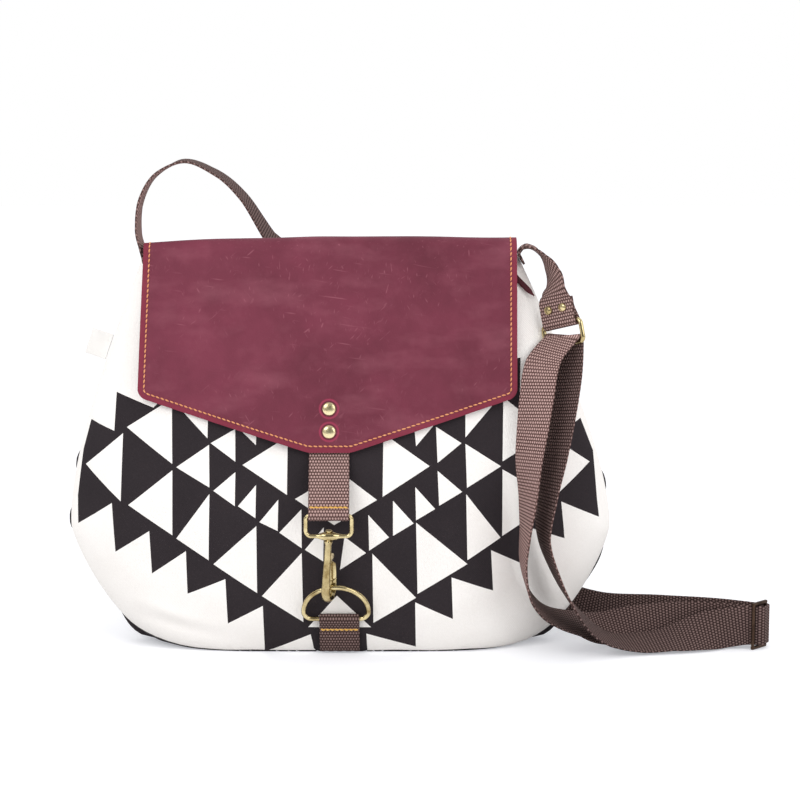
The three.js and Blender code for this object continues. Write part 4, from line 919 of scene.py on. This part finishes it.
def short_rod(radius, end_share, half, chamfer, segments):
    """A rod with its ends chamfered."""
    lower = [(0, -half), (end_share * radius, -half), (radius, chamfer - half)]
    return turned(lower + [(r, -z) for r, z in reversed(lower)], segments)


GATE_AXIS = HOOK_FRAME @ aim(X, Vector((0, GATE_PIN_OFFSET, -GATE_PIN_DROP)))


def hook_body(metal):
    """The post with its head and collar, the spine round to the tip, two lugs for the gate and their pin."""
    seat = BOSS_RADIUS + CLEARANCE
    neck = -seat - COLLAR_HEIGHT
    crown = seat + POST_HEAD_HEIGHT
    shank = turned([
        (0, -GATE_PIN_DROP), (STEM_RADIUS, -GATE_PIN_DROP), (STEM_RADIUS, neck - COLLAR_TAPER),
        (0.96 * COLLAR_RADIUS, neck), (COLLAR_RADIUS, neck + 0.3), (COLLAR_RADIUS, -seat - 0.3),
        (0.9 * COLLAR_RADIUS, -seat), (POST_RADIUS, -seat), (POST_RADIUS, seat), (0.9 * POST_HEAD_RADIUS, seat),
        (POST_HEAD_RADIUS, seat + 0.3), (0.85 * POST_HEAD_RADIUS, crown - 0.35),
        (0.5 * POST_HEAD_RADIUS, crown - 0.06), (0, crown),
    ])
    bend = HOOK_MOUTH / 2
    bend_z = -HOOK_LENGTH + HOOK_WIRE / 2 + bend
    knots = [Vector((0, 0, z)) for z in spread(HOOK_WIRE / 2 - GATE_PIN_DROP, bend_z, 8)[:-1]]
    knots += [Vector((0, bend * (1 - cos(a)), bend_z - bend * sin(a))) for a in spread(0, pi, 28)]
    tip = Vector((0, HOOK_MOUTH, -HOOK_TIP_DROP))
    knots += [knots[-1].lerp(tip, k / 4) for k in (1, 2, 3, 4)]
    spine = tube(knots, lambda share: HOOK_WIRE / 2 * (1 - 0.2 * smooth(0.95, 1, share)), X, sides=20,
                 width=spine_half_width)
    rim = [(GATE_PIN_OFFSET + LUG_RIM * cos(a), LUG_RIM * sin(a) - GATE_PIN_DROP)
           for a in map(radians, spread(70, -70, 12))]
    ear = [(0, LUG_HEIGHT / 2 - GATE_PIN_DROP), *rim, (0, -LUG_HEIGHT / 2 - GATE_PIN_DROP)]
    inner = GATE_WIDTH / 2 + CLEARANCE
    lugs = [slab(ear, inner, LUG_HALF_WIDTH), slab(ear, -LUG_HALF_WIDTH, -inner)]
    shape = moved(together([shank, spine] + lugs), HOOK_FRAME)
    solid("hook_shank", shape, "hook", "brass", metal, "hook_body", rounding=(0.35, 60))
    pin = moved(short_rod(GATE_PIN_RADIUS, 0.8, LUG_HALF_WIDTH, 0.15, 20), GATE_AXIS)
    solid("latch_pin", pin, "hook", "brass", metal, "hook_gate_pin")


def hook_gate(metal):
    """A bowed leaf from the pin to the inside of the hook's tip, narrow between the lugs."""
    root = Vector((GATE_PIN_OFFSET, -GATE_PIN_DROP))
    tip = Vector((HOOK_MOUTH - HOOK_WIRE / 2 - CLEARANCE - GATE / 2, -HOOK_TIP_DROP - GATE_OVERLAP))
    ahead = (tip - root).normalized()
    out = Vector((-ahead.y, ahead.x))
    length = (tip - root).length
    section = [(-1, 0.2), (-0.86, 0.8), (0, 1), (0.86, 0.8), (1, 0.2)]
    section += [(-a, -b) for a, b in section]
    rings = []
    for along in spread(0, length, 36):
        half = lerp(GATE_WIDTH, GATE_LEAF_WIDTH, smooth(GATE_NECK - 0.4, GATE_NECK + 1.4, along)) / 2
        half *= sqrt(1 - 0.6 * smooth(length - 2.4, length, along) ** 2)
        middle = root + along * ahead + GATE_BOW * sin(pi * along / length) * out
        spots = [(a, middle + b * GATE / 2 * out) for a, b in section]
        rings.append([Vector((a * half, spot.x, spot.y)) for a, spot in spots])
    leaf = moved(loft(rings, capped=True), HOOK_FRAME)
    eye = moved(short_rod(GATE_EYE, 0.9, GATE_WIDTH / 2, 0.2, 24), GATE_AXIS)
    solid("hook_leaf", together([leaf, eye]), "gate", "brass", metal, "hook_gate")


# Right shoulder: stub, rivets and strap ring

def right_seam(z):
    return centre_at(z) + half_width(z) + WRAP_CLEARANCE + WEBBING / 2


STRAP_RING_CENTRE = Vector((right_seam(STRAP_RING_Z) + STRAP_RING_BESIDE, -STRAP_RING_FORWARD, STRAP_RING_Z))
RING_DOWN = Vector((0.12, -0.137, -0.985))
RING_DOWN = (RING_DOWN - RING_DOWN.dot(STRAP_RING_ALONG) * STRAP_RING_ALONG).normalized()
RING_FRONT = RING_DOWN.cross(STRAP_RING_ALONG).normalized()
RING_LOWER = STRAP_RING_CENTRE + RING_DOWN * STRAP_RING_HEIGHT
RING_WRAP = STRAP_RING_WIRE / 2 + WRAP_CLEARANCE + WEBBING / 2
STUB_SHOULDER = route(
    (4.3, 1, 2.2, -Y), (9, -1, 2.6, -Y), (14.5, -4, -1, (0.03, -0.99, 0)), (19, -8.5, -8, (0.15, -0.98, 0.03)),
    (22, -15, -16, (0.3, -0.94, 0.08)), start=(MOUTH_RIGHT, 0, BAG_HEIGHT))


def above_ring(along, across):
    return STRAP_RING_CENTRE - RING_DOWN * along + RING_FRONT * across


def stub_stations():
    """Up out of the side seam, over the shoulder, down round the ring and back up behind."""
    stations = [(Vector((right_seam(BAG_HEIGHT - drop) + off, 2, BAG_HEIGHT - drop)), -Y)
                for drop, off in ((7, 0), (4, 0), (1, CLEARANCE))]
    stations += STUB_SHOULDER
    for along, turn in ((20, 0.6), (14, 1), (9, 1), (4, 1)):
        stations.append((above_ring(along, RING_WRAP), (-Y).lerp(STRAP_RING_ALONG, turn).normalized()))
    stations += wrap(STRAP_RING_CENTRE, STRAP_RING_ALONG, RING_FRONT, RING_DOWN, RING_WRAP, 0, 201, 9)
    fold = RING_WRAP - WEBBING - CLEARANCE
    return stations + [(above_ring(share * STUB_FOLD_LENGTH, fold), STRAP_RING_ALONG) for share in (0.6, 0.8, 1)]


def stub(web, metal):
    piece = band("stub_band", band_frames(stub_stations(), WEBBING_STEPS), painted_shade_and_tone=STUB_DARKENING)
    dress(piece, "bag", "webbing", [web], "strap_stub")
    grip = 2 * WEBBING + 3 * CLEARANCE + 1.4
    for sign, name in ((-1, "left"), (1, "right")):
        middle = above_ring(STUB_RIVET_FROM_RING, RING_WRAP + WEBBING / 2 + CLEARANCE - grip / 2)
        middle += STRAP_RING_ALONG * sign * STUB_RIVET_PITCH / 2
        shape = moved(rivet(grip, STUB_RIVET_RADIUS), aim(RING_FRONT, middle))
        solid(f"shoulder_rivet_{name}", shape, "bag", "brass", metal, f"stub_rivet_{name}")
    width = WEBBING_WIDTH + 2 * CLEARANCE + STRAP_RING_WIRE
    loop = rounded_loop((STRAP_RING_CENTRE + RING_LOWER) / 2, STRAP_RING_ALONG, -RING_DOWN, width, STRAP_RING_HEIGHT,
                        STRAP_RING_WIRE, STRAP_RING_WIRE)
    ring = tube(loop, STRAP_RING_WIRE / 2, RING_FRONT, closed=True)
    solid("ring_oblong", ring, "bag", "brass", metal, "strap_ring")


# Shoulder strap and its slider, the strap darker on its inner face and near the floor by painted shade

SLIDER_ALONG = Vector((cos(SLIDER_TURN), sin(SLIDER_TURN), 0))
SLIDER_BARS = [SLIDER_CENTRE + SLIDER_ALONG * k * SLIDER_PITCH for k in (-1, 0, 1)]


def strap_slider(metal):
    reach = (WEBBING_WIDTH + 4 * CLEARANCE + SLIDER_RAIL) / 2
    rod = turned([(0, -reach), (SLIDER_BAR, -reach), (SLIDER_BAR, reach), (0, reach)], 20)
    rail = box_shape((2 * SLIDER_PITCH + 2 * SLIDER_BAR, 2 * SLIDER_BAR, SLIDER_RAIL))
    turn = Matrix.Rotation(SLIDER_TURN, 4, "Z")
    shapes = [moved(rod, Matrix.Translation(place)) for place in SLIDER_BARS]
    shapes += [moved(rail, Matrix.Translation(SLIDER_CENTRE + Z * end) @ turn) for end in (-reach, reach)]
    solid("slider_frame", together(shapes), "bag", "bronze", metal, "strap_slider", rounding=(0.5, 50))


STRAP_ARCH = route(
    (-124.9, 1.5, 247.5, Y), (-125.7, 1.5, 251.5, Y), (-126.9, 2, 256, Y), (-129.5, 5, 267, Y), (-128.2, 11, 286, Y),
    (-119.4, 19, 302, Y), (-102, 27, 310.5, (0, 0.99, 0.03)), (-82.5, 36, 303, (0.03, 0.99, 0.05)),
    (-66, 44, 288, (0.08, 0.98, 0.1)), (-47.5, 50, 259, (0.2, 0.96, 0.12)))
STRAP_BEHIND = route(
    (-24, 59, 228, (0.75, 0.5, 0.4)), (14, 60, 170, (0.83, 0.1, 0.55)), (60, 58, 106, (0.8, 0, 0.6)),
    (103, 54, 55, (0.65, 0, 0.76)), (138, 43, 22, (0.35, 0, 0.94)), (167, 29.5, 13.4, (0.03, 0.3, 0.95)),
    (208, 15, 14.2, (0, 0.15, 0.99)), (246, 0, 15.6, Z), (262, -8, 15.6, Z))
STRAP_FRONT = route(
    (271.2, -22.3, 15.6, Z), (268.2, -23.4, 15.6, Z), (265.3, -22.1, 15.6, Z), (262, -21.7, 15.6, Z),
    (258, -21.6, 15.4, Z), (246, -21.5, 13.8, (0, 0.1, 0.99)), (230, -22.5, 11.5, (0, 0.6, 0.8)),
    (210, -24, 7.2, (0, 0.93, 0.37)), (190, -27, 5.6, (0, 0.97, 0.24)), (172, -32, 9, (0.1, 0.99, 0.05)),
    (158.5, -37, 18.5, (0.15, 0.98, 0)), (146, -41.5, 34, (-0.06, 0.99, 0)), (135.5, -44, 54, (-0.16, 0.98, 0)),
    (127.5, -46, 78, (-0.25, 0.96, 0)), (129, -46, 103, (-0.45, 0.9, 0)), (133.5, -42, 128, (-0.6, 0.8, 0)))
TO_RING = route((-1, -13.5, -58, (-0.68, 0.73, 0)), (3, -4.5, -33, (-0.75, 0.65, -0.15)), start=STRAP_RING_CENTRE)
FROM_RING = route(
    (-12, -13.5, -23, (-0.85, 0.52, -0.1)), (-16.5, -21.5, -45, (-0.8, 0.6, 0)), start=STRAP_RING_CENTRE)
STRAP_FALL = route(
    (120, -48, 148, (-0.73, 0.68, 0)), (117.5, -52, 128, (-0.6, 0.8, 0)), (117, -54, 106, (-0.4, 0.92, 0)),
    (115.5, -54.5, 84, (-0.2, 0.97, 0)), (114.5, -52, 62, (-0.1, 0.99, 0)), (118.5, -47.5, 43, (0, 0.99, 0.05)))
STRAP_RETURN = route(
    (125.5, -42.5, 32, (0, 0.98, 0.12)), (135, -36.5, 24.5, (0, 0.98, 0.17)), (148, -27, 18.5, (0, 0.95, 0.3)),
    (166, -15, 12, (0, 0.8, 0.6)), (190, -8, 12.8, (0, 0.45, 0.89)), (216, -6, 14.4, (0, 0.25, 0.97)),
    (240, -11, 15.5, Z), (257, -16.8, 15.6, Z))
STRAP_END = route((263, -19.6, 15.6, Z), (254, -19, 15.6, Z))


def strap_stations():
    bar = SLIDER_BAR + CLEARANCE + WEBBING / 2
    crest = RING_LOWER - RING_DOWN * STRAP_RIDE
    skewed = Matrix.Rotation(-STRAP_SKEW, 3, RING_FRONT) @ -STRAP_RING_ALONG
    over_ring = wrap(crest, skewed, -RING_FRONT, -RING_DOWN, RING_WRAP, 0, 140, 7)
    round_slider = wrap(SLIDER_BARS[2], Z, X, Y, bar, 120, -60, 8)
    round_middle = wrap(SLIDER_BARS[1], Z, X, Y, bar, 90, -100, 8)
    return (STRAP_ARCH + STRAP_BEHIND + round_slider + STRAP_FRONT + TO_RING + over_ring + FROM_RING + STRAP_FALL
            + STRAP_RETURN + round_middle + STRAP_END)


def shoulder_strap(web):
    # Painted shade: the strap's inner face darker, and the strap darker towards the floor.
    def painted_shade_and_tone(point, inner):
        return max(INNER_PAINTED_SHADE if inner else 0.0, 1 - smooth(*FLOOR_PAINTED_SHADE, point.z))

    piece = band("strap_band", band_frames(strap_stations(), STRAP_STEPS), painted_shade_and_tone=painted_shade_and_tone)
    dress(piece, "bag", "webbing", [web], "shoulder_strap")


def side_label(look):
    def seam(z):
        return Vector((centre_at(z) - half_width(z), 0, z))

    slope = (seam(LABEL_CENTRE_HEIGHT + 2) - seam(LABEL_CENTRE_HEIGHT - 2)).normalized()
    out = Vector((-slope.z, 0, slope.x))
    middle = seam(LABEL_CENTRE_HEIGHT) + out * (CLEARANCE + LABEL_LENGTH / 2)

    def place(across, up):
        wave = 0.5 * sin(3 * across + 1.5 * up)
        return middle + out * LABEL_LENGTH * (across - 0.5) + slope * LABEL_HEIGHT * (up - 0.5) + Y * wave

    piece = new_piece("label_tag", *grid(place, 14, 14))
    thicken(piece, LABEL_THICKNESS, 0)
    soften(piece, 0.4)
    dress(piece, "bag", "label_cloth", [look], "side_label")


# Materials

class Value:
    """What a node gives, on which sums are written as on a number."""

    def __init__(self, nodes, output):
        self.nodes, self.output = nodes, output

    def __add__(self, other):
        return self.nodes.maths("ADD", self, other)

    def __sub__(self, other):
        return self.nodes.maths("SUBTRACT", self, other)

    def __mul__(self, other):
        return self.nodes.maths("MULTIPLY", self, other)

    def __truediv__(self, other):
        return self.nodes.maths("DIVIDE", self, other)


class Nodes:
    """A tree of shader nodes, joined by handing what one gives to another's input."""

    def __init__(self, tree):
        self.tree = tree

    def put(self, socket, value):
        if isinstance(value, Value):
            self.tree.links.new(value.output, socket)
        else:
            socket.default_value = value

    def node(self, kind, output, values=None, **settings):
        node = configure(self.tree.nodes.new("ShaderNode" + kind), **settings)
        for key, value in (values or {}).items():
            self.put(node.inputs[key], value)
        return Value(self, node.outputs[output])

    def maths(self, operation, a, b=0.0):
        return self.node("Math", 0, {0: a, 1: b}, operation=operation)

    def most(self, values):
        return reduce(lambda a, b: self.maths("MAXIMUM", a, b), values)

    def rays(self, *kinds):
        """One for a ray of any of these kinds."""
        return self.most(self.node("LightPath", kind) for kind in kinds)

    def part(self, vector, axis):
        return self.node("SeparateXYZ", axis, {"Vector": vector})

    def ramp(self, value, low, high, least=0.0):
        return self.node("MapRange", "Result", {"Value": value, "From Min": low, "From Max": high, "To Min": least})

    def mix(self, share, a, b):
        """A mix of two colours."""
        return self.node("Mix", 2, {0: share, 6: a, 7: b}, data_type="RGBA")

    def blend(self, share, a, b):
        """A mix of two numbers."""
        return self.node("Mix", 0, {0: share, 2: a, 3: b})


class Look(Nodes):
    """A material being built."""

    def __init__(self, name, roughness, metallic=0.0, specular=0.5):
        self.material = bpy.data.materials.new(name)
        self.material.use_nodes = True
        super().__init__(self.material.node_tree)
        self.shader = self.tree.nodes["Principled BSDF"]
        self.feed("Roughness", roughness)
        self.feed("Metallic", metallic)
        self.feed("Specular IOR Level", specular)
        self.place = self.node("TexCoord", "Object")

    def feed(self, socket, value):
        self.put(self.shader.inputs[socket], value)

    def noise(self, scale, detail, roughness=0.5, place=None):
        values = {"Vector": place or self.place, "Scale": scale, "Detail": detail, "Roughness": roughness}
        return self.node("TexNoise", "Fac", values)

    def threads(self, pitch):
        """Height of a plain weave with its threads along X and Z."""
        turn = 2 * pi / (pitch * MM)
        across, up = (self.maths("SINE", self.part(self.place, axis) * turn) for axis in "XZ")
        return across * up

    def done(self, colour, height, distance, strength, rough=None):
        """Joins up the colour, the bump and a roughness that varies."""
        self.feed("Base Color", colour)
        values = {"Height": height, "Distance": distance * MM, "Strength": strength}
        self.feed("Normal", self.node("Bump", "Normal", values))
        if rough:
            self.feed("Roughness", rough)
        return self.material


def rgb(*levels):
    """A colour written as it is seen, from 0 to 255."""
    shares = [level / 255 for level in levels]
    return (*(s / 12.92 if s <= 0.04045 else ((s + 0.055) / 1.055) ** 2.4 for s in shares), 1.0)


def canvas_look(name, pale, deep, specular):
    look = Look(name, 0.9, specular=specular)
    weave = look.threads(1.1)
    blotches, fibres = look.noise(26, 4), look.noise(900, 2)
    share = blotches * 0.6 + fibres * 0.4 + weave * 0.08
    return look.done(look.mix(look.ramp(share, 0.3, 0.75), deep, pale), weave + fibres * 0.8, 0.12, 0.5)


# Scratches in the leather: turn, length and width, and how rare they are
SCRATCHES = [
    (1.52, 32, 1.0, 0.77), (1.05, 13, 1.2, 0.78), (-0.75, 11, 1.2, 0.78), (0.15, 18, 1.3, 0.78),
    (-1.25, 8, 1.4, 0.79),
]
# Radius and width of the ring pressed round each rivet, where the leather is painted lighter as a highlight.
RIVET_PRESS, PRESS_WIDTH = 5.9, (0.9, 0.2)
BORDER_EDGE = 3.8, 2.4


def scratches(look, turn, length, width, rare):
    values = {"Vector": look.place, "Rotation": (0.0, turn, 0.0), "Scale": metres((length, width, width))}
    bent = look.node("Mapping", "Vector", values, vector_type="TEXTURE")
    return look.ramp(look.noise(1, 0, place=bent), rare, rare + 0.12)


def pressed_ring(look, z):
    centre = metres((CLOSURE_CENTRE, -flap_depth(CLOSURE_CENTRE, z), z))
    away = look.node("VectorMath", "Value", {0: look.place, 1: centre}, operation="DISTANCE")
    return look.ramp(look.maths("ABSOLUTE", away - RIVET_PRESS * MM), *metres(PRESS_WIDTH))


def leather_look(name, base, pale, deep, border=None, pressed_highlight=None):
    """Waxed leather; the flap's has a border outside the stitching and rings pressed round the rivets, painted
    lighter there as a highlight on the raised leather.
    """
    look = Look(name, 0.62, specular=0.22)
    clouds, mottle = look.noise(16, 5, 0.62), look.noise(85, 4, 0.6)
    drawn = look.node("Mapping", "Vector", {"Vector": look.place, "Scale": (26, 60, 60)})
    smears = look.noise(1, 4, place=drawn)
    colour = look.mix(look.ramp(clouds, 0.32, 0.68), deep, base)
    colour = look.mix(look.ramp(smears, 0.5, 0.8) * 0.3, colour, pale)
    colour = look.mix(look.ramp(mottle, 0.5, 0.85) * 0.12, colour, pale)
    marks = look.most(scratches(look, *row) for row in SCRATCHES) * look.ramp(look.noise(24, 2), 0.42, 0.58)
    specks = look.ramp(look.noise(420, 2), 0.77, 0.84)
    worn = look.maths("MINIMUM", marks + specks * 0.6, 1)
    colour = look.mix(worn * 0.42, colour, pale)
    height = look.noise(1100, 3) * 0.5 + mottle * 0.5
    if border:
        outside = look.ramp(look.node("Attribute", "Fac", attribute_name="border"), *BORDER_EDGE)
        colour = look.mix(outside * 0.7, colour, border)
        # Rings round the rivets: a groove in the bump, and a lighter colour painted as a highlight on the raised
        # leather.
        ring = look.most(pressed_ring(look, z) for z in RIVET_HEIGHTS.values())
        colour = look.mix(ring * 0.8, colour, pressed_highlight)
        height = height - ring * 2
    return look.done(colour, height, 0.25, 0.35, clouds * 0.25 + 0.5)


WEFT, WARP = 1.8, 2.04
# How far the painted shade and the darker tone bring the webbing's colours down.
PAINTED_SHADE_AND_TONE_SCALE = 0.32


def webbing_look(name, pale, deep):
    """Woven webbing: rows of slubs, each half a step from the next, and darker where painted shade and a darker tone
    are laid on.
    """
    look = Look(name, 0.9, specular=0.25)
    x, y = (look.part(look.node("UVMap", "UV", uv_map="weave"), axis) for axis in "XY")
    along = y / (WARP * MM)
    across = x / (WEFT * MM) + look.maths("MODULO", look.maths("FLOOR", along), 2) * 0.5
    hump, slub = (look.maths("SINE", look.maths("FRACT", way) * pi) for way in (across, along))
    height = hump * slub
    share = look.ramp(height * 0.85 + look.noise(1500, 2) * 0.3, 0.3, 1)
    middling = tuple((a + b) / 2 for a, b in zip(pale, deep))
    colour = look.mix(share, deep, pale)
    colour = look.mix(look.ramp(look.noise(60, 3), 0.45, 0.8) * 0.2, colour, middling)
    half = WEBBING_WIDTH / 2
    edge = look.ramp(look.maths("ABSOLUTE", x - half * MM), *metres((half - 0.8, half - 0.2)))
    colour = look.mix(edge * 0.5, colour, deep)
    # The painted shade colour, mixed in by the band's darkening attribute.
    dull = look.mix(share, *((*(PAINTED_SHADE_AND_TONE_SCALE * c for c in tone[:3]), 1.0) for tone in (deep, pale)))
    painted_shade_and_tone = look.node("Attribute", "Fac", attribute_name="painted_shade_and_tone")
    return look.done(look.mix(painted_shade_and_tone, colour, dull), height, 0.5, 0.7)


def metal_look(name, bright, dull, roughness):
    look = Look(name, roughness, 1.0)
    patina = look.noise(110, 4, 0.6)
    colour = look.mix(look.ramp(patina, 0.4, 0.72), bright, dull)
    return look.done(colour, look.noise(700, 2), 0.02, 0.25, patina * 0.2 + (roughness - 0.1))


def thread_look(name, pale, deep):
    look = Look(name, 0.6, specular=0.3)
    twist = look.noise(1600, 2)
    return look.done(look.mix(look.ramp(twist, 0.3, 0.7), deep, pale), twist, 0.1, 0.5)


def cloth_look(name, pale, deep, pitch):
    look = Look(name, 0.9, specular=0.25)
    weave = look.threads(pitch)
    share = look.noise(45, 3) + weave * 0.12
    return look.done(look.mix(look.ramp(share, 0.3, 0.7), deep, pale), weave, 0.15, 0.5)


# The set: a pale floor, soft light and the camera

AMBIENT, ROOM_DARK = 0.95, 0.08
FLOOR_REACH, FLOOR_GLOW, GLOW_COLOUR = 6.0, 0.36, (0.93, 0.945, 1, 1)
FLOOR_TONES = (0.74, 0.74, 0.75, 1), (0.78, 0.78, 0.79, 1)
LAMP_TARGET = Vector((0, 0, 0.12))
SENSOR, LENS = 36, 93.75
CAMERA_PLACE, CAMERA_TILT = (0.0374, -1.32735, 0.34543), radians(82)


def white_floor():
    """A floor that glows a little for what the camera sees, straight on or in metal and glass."""
    mesh = bpy.data.meshes.new("floor")
    corners = [(x * FLOOR_REACH, y * FLOOR_REACH, 0) for x, y in ((-1, -1), (1, -1), (1, 1), (-1, 1))]
    mesh.from_pydata(corners, [], [(0, 1, 2, 3)])
    look = Look("floor", 0.9, specular=0.0)
    look.feed("Base Color", look.mix(look.noise(40, 2), *FLOOR_TONES))
    seen = look.rays("Is Camera Ray", "Is Glossy Ray", "Is Transmission Ray")
    glow = look.node("Emission", "Emission", {"Color": GLOW_COLOUR, "Strength": seen * FLOOR_GLOW})
    both = look.node("AddShader", "Shader", {0: Value(look, look.shader.outputs["BSDF"]), 1: glow})
    look.put(look.tree.nodes["Material Output"].inputs["Surface"], both)
    mesh.materials.append(look.material)
    in_scene("floor", mesh)


def white_world():
    """A white studio with a darker end behind the camera, which shows only in metal."""
    world = bpy.data.worlds.new("studio")
    bpy.context.scene.world = world
    world.use_nodes = True
    nodes = Nodes(world.node_tree)
    sky = world.node_tree.nodes["Background"]
    sky.inputs["Color"].default_value = (1, 1, 1, 1)
    towards = nodes.part(nodes.node("TexCoord", "Generated"), "Y")
    room = nodes.ramp(towards, -0.9, 0.2, ROOM_DARK)
    light = nodes.blend(nodes.rays("Is Glossy Ray", "Is Transmission Ray"), AMBIENT, room)
    nodes.put(sky.inputs["Strength"], nodes.blend(nodes.rays("Is Camera Ray"), light, 1.0))


def lamp(name, place, size, power):
    data = configure(bpy.data.lights.new(name, "AREA"), shape="DISK", size=size, energy=power)
    turn = (LAMP_TARGET - Vector(place)).to_track_quat("-Z", "Y").to_euler()
    in_scene(name, data, location=place, rotation_euler=turn)


def photo_camera():
    data = configure(bpy.data.cameras.new("camera"), sensor_width=SENSOR, sensor_fit="HORIZONTAL", lens=LENS)
    camera = in_scene("camera", data, location=CAMERA_PLACE, rotation_euler=(CAMERA_TILT, 0, 0))
    bpy.context.scene.camera = camera


def build():
    photo_camera()
    bpy.context.scene.view_settings.view_transform = "Standard"
    white_world()
    white_floor()
    lamp("key", (-0.9, -1.5, 1.3), 1.1, 11)
    lamp("fill", (1.3, -1.3, 1.0), 1.2, 8)

    canvas = canvas_look("canvas", rgb(252, 249, 246), rgb(244, 240, 236), 0.2)
    ink = canvas_look("ink", rgb(52, 46, 49), rgb(43, 38, 41), 0.15)
    dark_canvas = canvas_look("dark_canvas", rgb(56, 50, 53), rgb(38, 33, 36), 0.15)
    # The last colour is the painted highlight on the rings pressed round the rivets.
    leather = leather_look("leather", rgb(120, 52, 70), rgb(164, 98, 112), rgb(98, 39, 54), rgb(132, 43, 62),
                           rgb(160, 56, 84))
    edge = leather_look("leather_edge", rgb(92, 36, 48), rgb(120, 60, 70), rgb(70, 24, 36))
    lace_leather = leather_look("lace_leather", rgb(78, 26, 36), rgb(104, 48, 56), rgb(52, 16, 24))
    web = webbing_look("webbing", rgb(214, 178, 172), rgb(80, 55, 51))
    orange = thread_look("orange_thread", rgb(242, 176, 126), rgb(208, 126, 80))
    gold = thread_look("gold_thread", rgb(240, 196, 108), rgb(206, 150, 66))
    brass = metal_look("brass", rgb(224, 207, 158), rgb(136, 113, 68), 0.2)
    pale_brass = metal_look("pale_brass", rgb(240, 226, 182), rgb(212, 192, 142), 0.3)
    bronze = metal_look("bronze", rgb(84, 66, 54), rgb(52, 40, 34), 0.45)
    lining_cloth = cloth_look("lining_cloth", rgb(196, 182, 170), rgb(176, 160, 148), 0.9)
    zip_cloth = cloth_look("zip_cloth", rgb(84, 74, 78), rgb(60, 52, 56), 1.2)
    label_cloth = cloth_look("label_cloth", rgb(250, 248, 245), rgb(238, 235, 231), 0.8)

    panel(-1, "canvas_front", [canvas, ink], "canvas", "front_panel", [FIELD, BASE_EDGE_AND_PAINTED_SHADOW] + PALE)
    panel(1, "canvas_back", [dark_canvas], "dark_canvas", "back_panel", [])
    lining(lining_cloth)
    zip_side(-1, "front", zip_cloth, brass)
    zip_side(1, "back", zip_cloth, brass)
    zip_slider(brass)
    lace(lace_leather)
    flap(leather, edge)
    rows = [stitch_row(path) for path in (flap_stitch_path(), flap_seam_path())]
    solid("flap_stitching", together(rows), "flap", "leather", orange)
    flap_rivets(pale_brass)
    closure(web, gold)
    ring_tab(web, gold)
    d_ring(brass)
    hook_bail(brass)
    hook_body(brass)
    hook_gate(brass)
    stub(web, brass)
    strap_slider(bronze)
    shoulder_strap(web)
    side_label(label_cloth)


build()
